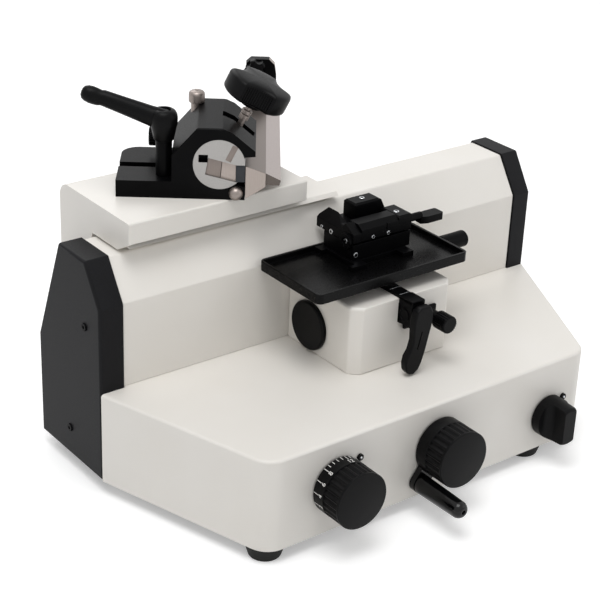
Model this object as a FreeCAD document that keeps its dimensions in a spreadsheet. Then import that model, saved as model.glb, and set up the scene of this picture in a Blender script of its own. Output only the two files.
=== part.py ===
import FreeCAD, Part
import math
import os
import re
import Sketcher
from FreeCAD import Placement, Rotation, Vector

# A sledge microtome for the laboratory bench.
#
# All sizes are in millimetres and belong to the bench frame of the casting: x runs along
# the track from the outer face of the left cap, y runs back from the front plane of the
# track housing, z runs up from the underside of the base. The knife holder has a frame of
# its own, set on the sledge and turned about the vertical. Every piece is then moved by
# the same shift, so that the finished part stands with the middle of its box at the origin.
SIZES = {
    # track housing between its two end caps
    "track_length": 430, "cap_left": 20.5, "cap_right": 18.4, "cap_proud": 1.2,
    "crease_rise": 68.4, "top_front": 20.1, "top_back": 56.3, "slope_rise": 30.7,
    "back_depth": 90.1, "back_rise": 12.3, "track_wall": 4, "cap_round": 2.5,
    "track_round": 3,
    # base casting under it
    "base_height": 75.2, "base_front": 149.1, "front_left": 46.3, "right_setback": 73.4,
    "base_wall": 5, "corner_round": 18, "base_edge_round": 2.4, "floor_plate": 3,
    "seat_gap": 0.3, "running_gap": 0.05, "cut_over": 1,
    # rubber feet
    "foot_height": 11, "foot_top": 15.5, "foot_bottom": 12, "foot_round": 1.5,
    "foot_left": 57, "foot_right_inset": 42.6, "foot_front": 132.5,
    "foot_rear_inset": 45, "foot_rear": 68,
    # specimen housing on the base
    "block_left": 172.2, "block_right": 271, "block_front": 83.2, "block_rise": 56.6,
    "block_wall": 4, "block_round": 7.4, "block_edge": 2.5,
    "plug_radius": 20.3, "plug_back": 29, "plug_rise": 22.4, "plug_thick": 4,
    "plug_edge": 1.2,
    # rail bed and rails on the back slope of the track
    "bed_drop": 34.3, "bed_high": 40, "bed_back": 98, "rail_wide": 7, "rail_high": 8,
    "rail_front": 77.5, "rail_back": 92.5, "rail_groove": 1.4, "rail_groove_height": 4.5,
    "block_half": 6.5, "bearing_long": 34, "bearing_lift": 1.5, "bearing_inset": 12,
    # sledge
    "sledge_start": 30, "cover_length": 161, "lip_front": 6.5, "lip_rise": 9.4,
    "chamfer_back": 22.4, "cover_gap": 2, "cover_high": 25.7, "cover_back": 106.4,
    "skirt_drop": 2, "cover_wall": 4, "cover_round": 12, "lip_round": 1.5,
    "slope_gap": 2, "skirt_end": 229, "skirt_front": 14, "skirt_thick": 3,
    "skirt_rise": 2, "slide_rise": 13.5, "slide_front": 24,
    "slide_back": 100, "slide_inset": 6, "end_wall": 5,
    # knife holder, in its own frame on the sledge
    "holder_x": 49.2, "holder_y": 56.1, "holder_turn": 36,
    "tongue_height": 13.3, "holder_width": 96, "body_left": 41.5, "body_shoulder": 33.9,
    "body_top": 55.8, "crown_left": 60.2, "crown_right": 79.2, "ridge_x": 86.6,
    "ridge_z": 52.4, "beak_x": 103.4, "beak_z": 38.5, "beak_low": 34.6, "mouth_x": 95.5,
    "mouth_z": 33.8, "chin_x": 89.5, "chin_z": 12, "chin_edge": 10,
    "body_depth": 68, "tongue_depth": 70.6, "tongue_round": 14, "holder_edge": 0.8,
    "bore_x": 76.6, "bore_z": 27.7, "bore_radius": 19.4,
    "groove_front": 28.5, "groove_wide": 9, "groove_deep": 9, "tee_wide": 15, "tee_high": 4,
    "slot_y": 34, "slot_wide": 5.6, "slot_from_angle": 3, "slot_to_angle": 66, "slot_reach": 45,
    # knife and what carries it
    "disc_gap": 0.06, "carrier_x": 68.6, "carrier_top": 32.8, "carrier_low_x": 66.3,
    "carrier_low": 19.6, "carrier_right": 89.2, "carrier_foot": 13.9, "carrier_brow": 27.7,
    "carrier_set": 1, "relief_left": 61.3, "relief_right": 68.3, "relief_low": 29.2,
    "relief_top": 35.2, "relief_deep": 6,
    "seat_right": 95.9, "seat_top": 27.6, "seat_low": 14,
    "bar_left": 96.3, "bar_top": 27, "bar_foot": 0.8, "bar_right": 111.3,
    "bar_brow": 21.8, "bar_heel": 11, "bar_edge": 0.6,
    "edge_x": 122.7, "edge_top": 15.7, "edge_low_x": 121.6, "edge_low": 11.5,
    "knife_length": 160, "knife_set": 2,
    "plate_thick": 8, "plate_left": 94, "plate_top": 58.5, "plate_crown": 98,
    "plate_brow": 113, "plate_cheek": 117.5, "plate_cheek_z": 54, "plate_right": 119,
    "plate_right_top": 45, "plate_right_low": 20,
    "end_knob_x": 101.8, "end_knob_z": 51.5, "end_knob_radius": 8.4, "end_knob_thick": 8,
    "end_knob_cut": 3.4, "end_knob_lobes": 5, "end_stud": 3,
    # clamping screw through the holder body
    "stem_x": 81.8, "stem_tilt": 25, "stem_radius": 2.4, "stem_start": 3, "stem_end": 50,
    "collar_start": 27, "collar_radius": 4, "collar_end": 35, "knob_start": 39,
    "knob_neck": 4, "neck_radius": 9, "knob_radius": 25, "knob_thick": 17, "knob_slope": 3,
    "knob_dome": 2, "dome_radius": 12, "lobe_cut": 21, "lobe_far": 39, "lobes": 3,
    # clamping lever on its post
    "post_x": 35, "post_y": 15, "post_radius": 6.2, "post_height": 27.5,
    "post_neck": 3.5, "post_neck_long": 12, "hub_radius": 8.5, "hub_high": 19,
    "hub_round": 4, "lever_out": 55.6, "lever_up": 34.7, "lever_high": 9,
    "lever_wide": 8.6, "lever_end": 7.4, "lever_edge": 1.6, "ball_radius": 6.8,
    # small parts of the holder
    "lock_y": 58, "lock_z": 27, "lock_radius": 6.5, "lock_long": 8.4, "lock_reach": 12,
    "lock_stud": 2.5, "lock_deep": 6, "lock_flutes": 20, "lock_flute": 0.5,
    "pin_x": 57.6, "pin_y": 58, "pin_radius": 6.2, "pin_top": 67.4, "pin_neck": 4.4,
    "pin_foot": 42, "pin_round": 3.2,
    "stop_x": 89.4, "stop_z": 5.6, "stop_radius": 5.2, "stop_out": 6, "stop_round": 4.6,
    "nut_inset": 6, "nut_long": 18,
    # specimen lift
    "column_x": 220.5, "column_y": 38, "column_half": 17, "column_rise": 8.8,
    "column_bore": 6.5, "column_deep": 40, "column_edge": 1,
    "guide_wall": 5, "guide_high": 45, "spindle_radius": 5, "spindle_rise": 36.8,
    "spindle_collar": 7, "collar_thick": 3, "journal_radius": 4, "bracket_foot": 3,
    "boss_radius": 9, "boss_top": 20, "bracket_left": 190, "bracket_right": 236,
    "bracket_top": 54, "bracket_thick": 4, "bracket_front": 52, "bracket_back": 24,
    "nut_radius": 12, "nut_high": 12, "gear_radius": 8, "gear_high": 9, "gear_teeth": 12,
    "tooth_deep": 1.6, "gear_twist": 57, "gear_layers": 4,
    # tray and clamp
    "tray_left": 141, "tray_right": 289, "tray_front": 77, "tray_back": 1,
    "tray_rise": 10.2, "tray_high": 8, "tray_floor": 3.6, "tray_rim": 2.5,
    "tray_round": 5, "tray_edge": 0.6,
    "foot_plate_left": 193, "foot_plate_right": 254.5, "foot_plate_front": 51,
    "foot_plate_rise": 7.5, "foot_plate_waist": 198.5, "foot_plate_tab": 9,
    "notch_left": 208, "notch_right": 243.5, "notch_deep": 8,
    "clamp_left": 201, "clamp_right": 259, "clamp_front": 41, "clamp_back": 0.5,
    "seam_rise": 12.5, "clamp_edge": 0.8, "clamp_relief": 1.2,
    "pivot_y": 33, "pivot_rise": 1.6, "barrel_radius": 6.5, "barrel_out": 2.4,
    "cheek_thick": 8, "cheek_top_rise": 15.2, "cheek_top_y": 30.4, "cheek_brow_rise": 8.8,
    "cheek_back": 5.3, "cheek_ridge_y": 10.6, "cheek_screw_y": 13.5,
    "cheek_peak_rise": 16.4, "cheek_peak_back": 0.5, "cheek_valley_y": 21.5,
    "cheek_back_rise": 10,
    "front_jaw_rise": 14.5, "jaw_brow_rise": 11, "front_jaw_slope": 36,
    "front_jaw_back": 26, "jaw_floor_rise": 8, "rear_jaw_left": 220.5, "rear_jaw_rise": 22,
    "rear_jaw_right": 246, "rear_jaw_foot": 253, "rear_jaw_front": 17.7,
    "rear_jaw_back": 3.2, "jaw_slot": 1, "jaw_slot_x": 233.5, "jaw_slot_rise": 6,
    "side_block_left": 246, "side_block_right": 260, "side_block_rise": 14.2,
    "side_block_back": 18, "side_block_edge": 1.4,
    "clamp_screw_radius": 2.2, "clamp_screw_out": 0.5,
    "paddle_y": 30, "paddle_rise": 4.4, "paddle_rod": 3.2, "paddle_deep": 22,
    "paddle_start": 276, "paddle_end": 298, "paddle_wide": 11, "paddle_thick": 6,
    "paddle_round": 1.8,
    "rod_y": 35, "rod_drop": 4, "rod_radius": 2.4, "rod_deep": 14, "rod_knob_start": 297,
    "rod_knob": 6.8, "rod_end": 323, "rod_round": 1.2,
    # locking arm on the front of the specimen housing
    "arm_x": 213.5, "arm_wide": 11, "arm_thick": 3, "arm_foot_drop": 20,
    "arm_step_drop": 3.8, "arm_right": 229.5, "arm_hub_x": 218.7, "arm_hub_drop": 9.4,
    "arm_hub_radius": 10.3, "arm_hub_long": 13, "arm_pin": 3,
    "lock_lever_thick": 7, "lock_lever_hub": 9.8, "lock_lever_long": 39, "lever_waist": 5.4,
    "lever_waist_at": 19, "lever_tip": 7, "lock_lever_lean": 8.5, "lock_lever_round": 2,
    "lug_top_drop": 13.2, "lug_foot_drop": 26.8, "lug_right": 250.5, "arm_knob_x": 244,
    "arm_knob_drop": 20.2, "arm_knob_radius": 7.2, "arm_knob_long": 13, "arm_knob_stud": 2.2,
    "arm_neck": 5, "arm_neck_long": 10.5, "arm_knob_deep": 2.4, "arm_knob_flutes": 24,
    "arm_knob_flute": 0.6,
    # knobs on the front
    "dial_x": 107.5, "dial_z": 39, "dial_radius": 22.5, "dial_long": 28,
    "ring_long": 9, "ring_step": 0.8, "flute_radius": 1.3, "flutes": 30,
    "knob_gap": 1.2, "knob_round": 1.2, "knob_bore": 14,
    "wheel_x": 204, "wheel_z": 40, "wheel_radius": 23, "wheel_long": 28,
    "wheel_flutes": 26, "shaft_radius": 5, "bush_radius": 10, "bush_flange": 0.8,
    "bush_collar": 13, "bush_long": 18, "cam_radius": 15, "cam_thick": 6, "cam_in": 40,
    "crank_radius": 31.9, "crank_angle": 232.5, "crank_half": 7.6, "crank_thick": 5,
    "grip_base": 7.2, "grip_tip": 6, "grip_long": 47, "grip_gap": 0.4, "grip_pin": 2.2,
    "grip_pin_short": 3, "grip_round": 3.6, "grip_foot_round": 1,
    "selector_inset": 37.1, "selector_z": 29, "selector_radius": 17, "selector_base": 8,
    "selector_long": 25, "wing_half": 6, "wing_reach": 15.8, "wing_round": 2.5,
    "index_pin_radius": 2.2, "index_pin_long": 6, "index_pin_edge": 1, "dial_pin_right": 20,
    "dial_pin_rise": 15.5, "selector_pin_right": 16.5, "selector_pin_rise": 11,
    # screws
    "cap_screw_radius": 3.2, "cap_screw_head": 1.2, "upper_screw_y": 20.4, "upper_screw_drop": 21.6,
    "lower_screw_y": 45.8, "lower_screw_z": 24.3,
}

# levels and places that follow from the sizes above
SUMS = {
    "back_crease": "base_height + back_rise", "crease_height": "base_height + crease_rise",
    "top_height": "crease_height + slope_rise", "front_right": "track_length - right_setback",
    "foot_right": "front_right - foot_right_inset", "foot_rear_left": "foot_rear_inset",
    "foot_rear_right": "track_length - foot_rear_inset",
    "block_top": "base_height + block_rise", "plug_height": "base_height + plug_rise",
    "bed_top": "top_height - bed_drop", "bed_bottom": "bed_top - bed_high",
    "slide_bottom": "bed_top + slide_rise", "cover_skirt": "bed_top - skirt_drop",
    "cover_under": "top_height + cover_gap", "cover_top": "cover_under + cover_high",
    "lip_bottom": "cover_under + lip_rise", "skirt_lift": "cover_under + skirt_rise",
    "column_bottom": "base_height + column_rise", "spindle_top": "base_height + spindle_rise",
    "tray_bottom": "block_top + tray_rise", "tray_top": "tray_bottom + tray_high",
    "foot_plate_top": "tray_bottom + foot_plate_rise",
    "clamp_seam": "foot_plate_top + seam_rise", "rod_z": "tray_bottom - rod_drop",
    "pivot_z": "clamp_seam + pivot_rise", "cheek_top": "clamp_seam + cheek_top_rise",
    "cheek_brow": "clamp_seam + cheek_brow_rise", "cheek_peak": "clamp_seam + cheek_peak_rise",
    "cheek_back_z": "clamp_seam + cheek_back_rise",
    "front_jaw_top": "clamp_seam + front_jaw_rise",
    "front_jaw_brow": "clamp_seam + jaw_brow_rise", "jaw_floor": "clamp_seam + jaw_floor_rise",
    "rear_jaw_top": "clamp_seam + rear_jaw_rise", "jaw_slot_low": "clamp_seam + jaw_slot_rise",
    "side_block_top": "clamp_seam + side_block_rise", "paddle_z": "clamp_seam + paddle_rise",
    "arm_foot": "block_top - arm_foot_drop", "arm_step": "block_top - arm_step_drop",
    "arm_hub_z": "block_top - arm_hub_drop", "lug_top": "block_top - lug_top_drop",
    "lug_foot": "block_top - lug_foot_drop", "arm_knob_z": "block_top - arm_knob_drop",
    "upper_screw_z": "crease_height - upper_screw_drop",
    "selector_x": "front_right - selector_inset",
    "dial_pin_x": "dial_x + dial_pin_right", "dial_pin_z": "dial_z + dial_pin_rise",
    "selector_pin_x": "selector_x + selector_pin_right",
    "selector_pin_z": "selector_z + selector_pin_rise",
}

# a first value for each constraint, before the sheet sets it
UNIT = 1.0

TO_FRONT = Rotation(Vector(1, 0, 0), 90)
TO_LEFT = Rotation(Vector(0, 1, 0), -90)
TO_RIGHT = Rotation(Vector(0, 1, 0), 90)

DOC = FreeCAD.newDocument("Microtome")
SHEET = DOC.addObject("Spreadsheet::Sheet", "Sizes")
PARTS = []


def fill_sheet():
    """Write each driving dimension into a cell that has the dimension's own name."""
    for row, (name, value) in enumerate(SIZES.items(), 1):
        SHEET.set("A%d" % row, name)
        SHEET.set("B%d" % row, str(value))
        SHEET.setAlias("B%d" % row, name)
    DOC.recompute()


def size(name):
    """The number under this name, from the sheet or as a sum of what the sheet holds."""
    if name in SUMS:
        return size_of(SUMS[name])
    return float(SHEET.get(name))


def size_of(formula):
    """The value of a plain sum of sizes, such as a length less a wall."""
    total = 0.0
    for sign, word in re.findall(r"([+-]?)\s*([a-z][a-z_]*)", formula):
        total += size(word) * (-1 if sign == "-" else 1)
    return total


def bound(formula):
    """The formula with each size in it written as its cell in the sheet."""
    def cell(match):
        word = match.group()
        if word in SUMS:
            return "(" + bound(SUMS[word]) + ")"
        return "Sizes." + word if word in SIZES else word
    return re.sub(r"[a-z][a-z_]*", cell, formula)


SHIFT_X = "-track_length / 2"
KNIFE_BACK = "(holder_y - plate_left * sin(holder_turn)" \
    " + (knife_length + plate_thick) * cos(holder_turn))"
GRIP_FRONT = "(base_front + knob_gap + crank_thick + grip_gap + grip_long)"
SHIFT_Y = "(" + GRIP_FRONT + " - " + KNIFE_BACK + ") / 2"
SHIFT_Z = "foot_height"


def place(piece, x="0", y="0", z="0", turn=Rotation()):
    """Stand a piece at x, y, z of the bench frame, turned about its own origin."""
    piece.Placement = Placement(Vector(), turn)
    for axis, at, shift in (("x", x, SHIFT_X), ("y", y, SHIFT_Y), ("z", z, SHIFT_Z)):
        piece.setExpression("Placement.Base." + axis, bound("(%s) + (%s)" % (at, shift)))


def holder_place(piece, x="0", y="0", z="0", lean=Rotation()):
    """Stand a piece in the holder's frame, with z above the sledge's top."""
    east = "(%s) * cos(holder_turn) + (%s) * sin(holder_turn)" % (x, y)
    north = "(%s) * cos(holder_turn) - (%s) * sin(holder_turn)" % (y, x)
    turn = Rotation(Vector(0, 0, 1), -size("holder_turn")).multiply(lean)
    place(piece, "holder_x + " + east, "holder_y + " + north, "cover_top + (%s)" % z, turn)


def new_body(name):
    """An empty body under the name that its file gets."""
    body = DOC.addObject("PartDesign::Body", name)
    body.Label = name
    PARTS.append(body)
    return body


def sketch(body, role, lift, outline=(), rings=()):
    """A sketch on one of the body's own planes, each point and ring tied to the sheet."""
    plane = [face for face in body.Origin.OriginFeatures if face.Role == role][0]
    drawing = body.newObject("Sketcher::SketchObject", body.Name + "_sketch")
    drawing.AttachmentSupport = [(plane, "")]
    drawing.MapMode = "FlatFace"
    drawing.setExpression("AttachmentOffset.Base.z", bound(lift))

    def tie(kind, *where, formula):
        number = drawing.addConstraint(Sketcher.Constraint(kind, *where, UNIT))
        drawing.setExpression("Constraints[%d]" % number, bound(formula))

    corners = [spread(index, len(outline)) for index in range(len(outline))]
    for start, end in zip(corners, corners[1:] + corners[:1]):
        drawing.addGeometry(Part.LineSegment(start, end), False)
    for index in range(len(outline)):
        following = (index + 1) % len(outline)
        drawing.addConstraint(Sketcher.Constraint("Coincident", index, 2, following, 1))
    for index, (across, up) in enumerate(outline):
        tie("DistanceX", index, 1, formula=across)
        tie("DistanceY", index, 1, formula=up)
    for across, up, radius in rings:
        ring = drawing.addGeometry(Part.Circle(Vector(), Vector(0, 0, 1), UNIT), False)
        tie("DistanceX", ring, 3, formula=across)
        tie("DistanceY", ring, 3, formula=up)
        tie("Radius", ring, formula=radius)
    return drawing


def spread(index, count):
    """A first place for a corner, on a unit circle, before the sheet moves it."""
    angle = 2 * math.pi * index / count
    return Vector(math.cos(angle), math.sin(angle), 0)


def feature(body, kind, drawing=None, **formulas):
    """Add a feature whose lengths and angles follow the sheet."""
    step = body.newObject("PartDesign::" + kind, body.Name + "_" + kind.lower())
    if drawing is not None:
        step.Profile = drawing
        drawing.Visibility = False
    for name, formula in formulas.items():
        if isinstance(formula, str):
            step.setExpression(name, bound(formula))
        else:
            setattr(step, name, formula)
    return step


def pad(body, role, lift, length, outline=(), rings=(), back=False, both=False):
    """Extrude a sketch along its plane's normal: up, forward or right, unless back is set."""
    drawing = sketch(body, role, lift, outline, rings)
    return feature(body, "Pad", drawing, Length=length, Reversed=back, Midplane=both)


def cut(body, role, lift, length, outline=(), rings=(), along=False, both=False):
    """Pocket a sketch against its plane's normal, or along it, and see that it cuts."""
    before = measure(body)
    drawing = sketch(body, role, lift, outline, rings)
    step = feature(body, "Pocket", drawing, Length=length, Reversed=along, Midplane=both)
    if measure(body) >= before:
        raise ValueError("a pocket cuts nothing in " + body.Label)
    return step


def measure(body):
    """The body's volume as it stands now."""
    DOC.recompute()
    return body.Shape.Volume


def spin(body, role, outline, axis="V_Axis"):
    """Revolve an outline about one axis of its sketch."""
    drawing = sketch(body, role, "0", outline)
    turned = feature(body, "Revolution", drawing, Angle=360)
    turned.ReferenceAxis = (drawing, [axis])
    return turned


def repeat_round(body, step, count, role="Z_Axis"):
    """Repeat the last feature evenly about an axis of the body."""
    DOC.recompute()
    pattern = body.newObject("PartDesign::PolarPattern", body.Name + "_round")
    pattern.Originals = [step]
    line = [axis for axis in body.Origin.OriginFeatures if axis.Role == role][0]
    pattern.Axis = (line, [""])
    pattern.Angle = 360
    pattern.setExpression("Occurrences", bound(count))
    body.Tip = pattern
    DOC.recompute()
    return pattern


def soften(body, radius, wanted, kind="Fillet"):
    """Round or chamfer the edges for which wanted says yes."""
    DOC.recompute()
    tip = body.Tip
    names = []
    for number, edge in enumerate(tip.Shape.Edges, 1):
        if edge.Length > 0 and wanted(edge):
            names.append("Edge%d" % number)
    if not names:
        raise ValueError("no edge to soften on " + body.Label)
    step = body.newObject("PartDesign::" + kind, body.Name + "_" + kind.lower())
    step.Base = (tip, names)
    if kind == "Fillet":
        step.setExpression("Radius", bound(radius))
    else:
        step.setExpression("Size", bound(radius))
    DOC.recompute()
    return step


def ends(edge):
    """The edge's two ends, or its one point twice when it is a ring."""
    points = [vertex.Point for vertex in edge.Vertexes]
    return points[0], points[-1]


def near(value, other):
    """Whether two lengths are the same but for rounding."""
    return abs(value - other) < size("seat_gap") / 2


def flat_at(axis, value):
    """A test for edges that lie whole in the plane where the axis has this value."""
    def test(edge):
        box = edge.BoundBox
        low = getattr(box, axis + "Min")
        high = getattr(box, axis + "Max")
        return near(low, value) and near(high, value)
    return test


def upright(edge):
    """Whether the edge is straight and vertical."""
    start, end = ends(edge)
    return near(start.x, end.x) and near(start.y, end.y) and not near(start.z, end.z)


def slope_y(height, gap="0"):
    """Where the back slope of the track lies at a height, plus a gap."""
    run = "(back_depth - top_back) / (top_height - back_crease)"
    return "(top_back + (top_height - (%s)) * %s + (%s))" % (height, run, gap)


def track_outline(grow="0", foot="base_height"):
    """The track's section in y and z, grown outward by a named amount."""
    return [("-(%s)" % grow, foot), ("-(%s)" % grow, "crease_height"),
            ("top_front - (%s)" % grow, "top_height + (%s)" % grow),
            ("top_back + (%s)" % grow, "top_height + (%s)" % grow),
            ("back_depth + (%s)" % grow, "back_crease"),
            ("back_depth + (%s)" % grow, foot)]


def shell(body, wall, open_at):
    """Hollow the body to a wall, open at the faces for which open_at says yes."""
    DOC.recompute()
    tip = body.Tip
    names = []
    for number, face in enumerate(tip.Shape.Faces, 1):
        if open_at(face):
            names.append("Face%d" % number)
    step = body.newObject("PartDesign::Thickness", body.Name + "_shell")
    step.Base = (tip, names)
    step.Reversed = True
    step.Join = 0
    step.setExpression("Value", bound(wall))
    DOC.recompute()
    return step


def face_at(*wanted):
    """A test for faces that lie in one of the planes given as axis and value."""
    def test(face):
        box = face.BoundBox
        return any(near(getattr(box, axis + "Min"), value)
                   and near(getattr(box, axis + "Max"), value) for axis, value in wanted)
    return test


KNOB_SPOTS = [("dial_x", "dial_z"), ("wheel_x", "wheel_z"), ("selector_x", "selector_z")]


def base_housing():
    """The painted casting: a low shell whose plan narrows to the front."""
    body = new_body("base_housing")
    back_left = "cap_left + seat_gap"
    back_right = "track_length - cap_right - seat_gap"
    side = "-cap_proud - seat_gap"
    outline = [("0", side), ("front_left", "-base_front"), ("front_right", "-base_front"),
               ("track_length", side), (back_right, side), (back_right, "back_depth"),
               (back_left, "back_depth"), (back_left, side)]
    pad(body, "XY_Plane", "0", "base_height", outline)
    front = -size("base_front")
    soften(body, "corner_round", lambda edge: upright(edge) and near(ends(edge)[0].y, front))
    shell(body, "base_wall", face_at(("Z", 0)))
    for across, up in KNOB_SPOTS:
        cut(body, "XZ_Plane", "base_front + cut_over", "base_wall + 2 * cut_over",
            rings=[(across, up, "bush_radius")])
    cut(body, "XY_Plane", "base_height + cut_over", "base_wall + 2 * cut_over",
        rings=[("column_x", "-column_y", "nut_radius")])
    top = size("base_height")
    block = -size("block_front")
    soften(body, "base_edge_round",
           lambda edge: flat_at("Z", top)(edge) and edge.BoundBox.YMin < block)
    place(body)


def base_cover():
    """The flat steel plate that closes the base from below."""
    body = new_body("base_cover")
    inset = "base_wall + seat_gap"
    outline = [("front_left + 2 * (%s)" % inset, "-base_front + " + inset),
               ("front_right - 2 * (%s)" % inset, "-base_front + " + inset),
               ("track_length - cap_right - 2 * (%s)" % inset, "back_depth - (%s)" % inset),
               ("cap_left + 2 * (%s)" % inset, "back_depth - (%s)" % inset)]
    pad(body, "XY_Plane", "0", "floor_plate", outline)
    front = -size("base_front") + size("base_wall") + size("seat_gap")
    soften(body, "corner_round - base_wall",
           lambda edge: upright(edge) and near(ends(edge)[0].y, front))
    place(body)


def feet():
    """Four turned rubber feet, each a solid of its own."""
    radius = size("foot_top")
    low = size("foot_bottom")
    high = size("foot_height")
    spots = [(size("foot_left"), -size("foot_front")), (size("foot_right"), -size("foot_front")),
             (size("foot_rear_left"), size("foot_rear")),
             (size("foot_rear_right"), size("foot_rear"))]
    solids = []
    for across, along in spots:
        cone = Part.makeCone(low, radius, high, Vector(across, along, -high))
        rim = [edge for edge in cone.Edges if near(edge.BoundBox.ZMax, -high)]
        solids.append(cone.makeFillet(size("foot_round"), rim))
    group("feet", solids)


def group(name, solids):
    """Several separate solids under one name, in the bench frame."""
    piece = DOC.addObject("Part::Feature", name)
    piece.Label = name
    piece.Shape = Part.makeCompound(solids) if len(solids) > 1 else solids[0]
    PARTS.append(piece)
    place(piece)


def track_housing():
    """The long painted cover of the track, a bent shell between the end caps."""
    body = new_body("track_housing")
    length = "track_length - cap_left - cap_right - 2 * seat_gap"
    pad(body, "YZ_Plane", "cap_left + seat_gap", length, track_outline())
    first = size("cap_left") + size("seat_gap")
    last = size("track_length") - size("cap_right") - size("seat_gap")
    shell(body, "track_wall", face_at(("Z", size("base_height")), ("X", first), ("X", last)))
    top = size("top_height")

    def ridge(edge):
        box = edge.BoundBox
        level = near(box.ZMin, box.ZMax)
        return level and box.XLength > size("cap_left") and (
            near(box.ZMax, top) or near(box.ZMax, size("crease_height")) and near(box.YMin, 0))
    soften(body, "track_round", ridge)
    place(body)


def end_cap(name, outer, inner, outward):
    """A moulded end cap, a little proud of the track all round."""
    body = new_body(name)
    pad(body, "YZ_Plane", inner if outward > 0 else outer,
        "(%s) - (%s)" % ((outer, inner) if outward > 0 else (inner, outer)),
        track_outline("cap_proud", "0"))
    face = size_of(outer)
    soften(body, "cap_round", flat_at("X", face))
    place(body)


def end_caps():
    """The left and the right end cap."""
    end_cap("left_end_cap", "0", "cap_left", -1)
    end_cap("right_end_cap", "track_length", "track_length - cap_right", 1)


def cap_screws():
    """The socket screws that hold the caps, flush but for their heads."""
    radius = size("cap_screw_radius")
    head = size("cap_screw_head")
    deep = size("cap_left")
    solids = []
    for along, up in screw_spots():
        for face, way in ((0, -1), (size("track_length"), 1)):
            start = Vector(face, along, up)
            out = Part.makeCylinder(radius, head, start, Vector(way, 0, 0))
            socket = Part.makeCylinder(radius / 2, head, start + Vector(way * head / 2, 0, 0),
                                       Vector(way, 0, 0))
            solids.append(out.cut(socket))
    group("cap_screws", solids)


def screw_spots():
    """Where the cap screws sit, as y and z."""
    return [(size("upper_screw_y"), size("upper_screw_z")),
            (size("lower_screw_y"), size("lower_screw_z"))]


def specimen_housing():
    """The painted box that stands on the base and guards the specimen lift."""
    body = new_body("specimen_housing")
    outline = [("block_left", "-block_front"), ("block_right", "-block_front"),
               ("block_right", "-seat_gap"), ("block_left", "-seat_gap")]
    pad(body, "XY_Plane", "base_height", "block_top - base_height", outline)
    front = -size("block_front")
    soften(body, "block_round", lambda edge: upright(edge) and near(ends(edge)[0].y, front),
           "Chamfer")
    shell(body, "block_wall", face_at(("Z", size("base_height"))))
    half = "column_half + seat_gap"
    hole = [("column_x - (%s)" % half, "-column_y - (%s)" % half),
            ("column_x + (%s)" % half, "-column_y - (%s)" % half),
            ("column_x + (%s)" % half, "-column_y + (%s)" % half),
            ("column_x - (%s)" % half, "-column_y + (%s)" % half)]
    cut(body, "XY_Plane", "block_top + cut_over", "block_wall + 2 * cut_over", hole)
    top = size("block_top")
    soften(body, "block_edge", lambda edge: flat_at("Z", top)(edge)
           and (near(edge.BoundBox.XMin, size("block_left"))
                or near(edge.BoundBox.XMax, size("block_right"))))
    place(body)


def side_plug():
    """The round black plug on the left face of the specimen housing."""
    body = new_body("side_plug")
    outline = [("0", "0"), ("plug_radius", "0"), ("plug_radius", "plug_thick - plug_edge"),
               ("plug_radius - plug_edge", "plug_thick"), ("0", "plug_thick")]
    spin(body, "XZ_Plane", outline)
    place(body, "block_left", "-plug_back", "plug_height", TO_LEFT)


def rail_bed():
    """The machined beam on the back slope of the track that carries the rails."""
    body = new_body("rail_bed")
    outline = [(slope_y("bed_top"), "bed_top"), ("bed_back", "bed_top"),
               ("bed_back", "bed_bottom"), (slope_y("bed_bottom"), "bed_bottom")]
    start = "cap_left + seat_gap"
    pad(body, "YZ_Plane", start, "track_length - cap_left - cap_right - 2 * seat_gap", outline)
    place(body)


def guide_rails():
    """Two hardened rails with a ball groove along each side."""
    solids = []
    start = size("cap_left") + size("seat_gap")
    length = size("track_length") - start - size("cap_right") - size("seat_gap")
    for middle in (size("rail_front"), size("rail_back")):
        base = Vector(start, middle - size("rail_wide") / 2, size("bed_top"))
        rail = Part.makeBox(length, size("rail_wide"), size("rail_high"), base)
        for side in (0, size("rail_wide")):
            groove = Part.makeCylinder(
                size("rail_groove"), length,
                base + Vector(0, side, size("rail_groove_height")), Vector(1, 0, 0))
            rail = rail.cut(groove)
        solids.append(rail)
    group("guide_rails", solids)


def bearing_blocks():
    """Four ball bearing blocks, two on each rail, that carry the sledge."""
    solids = []
    long = size("bearing_long")
    first = size("sledge_start") + size("slide_inset") + size("bearing_inset")
    last = size("sledge_start") + size("cover_length") - size("slide_inset") \
        - size("bearing_inset") - long
    bottom = size("bed_top") + size("bearing_lift")
    high = size("slide_bottom") - bottom
    gap = size("seat_gap")
    for middle in (size("rail_front"), size("rail_back")):
        for start in (first, last):
            block = Part.makeBox(long, 2 * size("block_half"), high,
                                 Vector(start, middle - size("block_half"), bottom))
            wide = size("rail_wide") + 2 * gap
            channel = Part.makeBox(long, wide, size("bed_top") + size("rail_high") + gap - bottom,
                                   Vector(start, middle - wide / 2, bottom))
            solids.append(block.cut(channel))
    group("bearing_blocks", solids)


def sledge_slide():
    """The heavy iron slide under the cover, L-shaped in section."""
    body = new_body("sledge_slide")
    outline = [(slope_y("slide_bottom", "slope_gap"), "slide_bottom"),
               ("slide_back", "slide_bottom"),
               ("slide_back", "cover_top - cover_round"),
               ("cover_back - cover_round - seat_gap", "cover_top - cover_wall - seat_gap"),
               ("slide_front", "cover_top - cover_wall - seat_gap"),
               ("slide_front", "skirt_lift + skirt_thick"),
               ("top_back + slope_gap", "skirt_lift + skirt_thick")]
    pad(body, "YZ_Plane", "sledge_start + slide_inset", "cover_length - 2 * slide_inset",
        outline)
    place(body)


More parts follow.
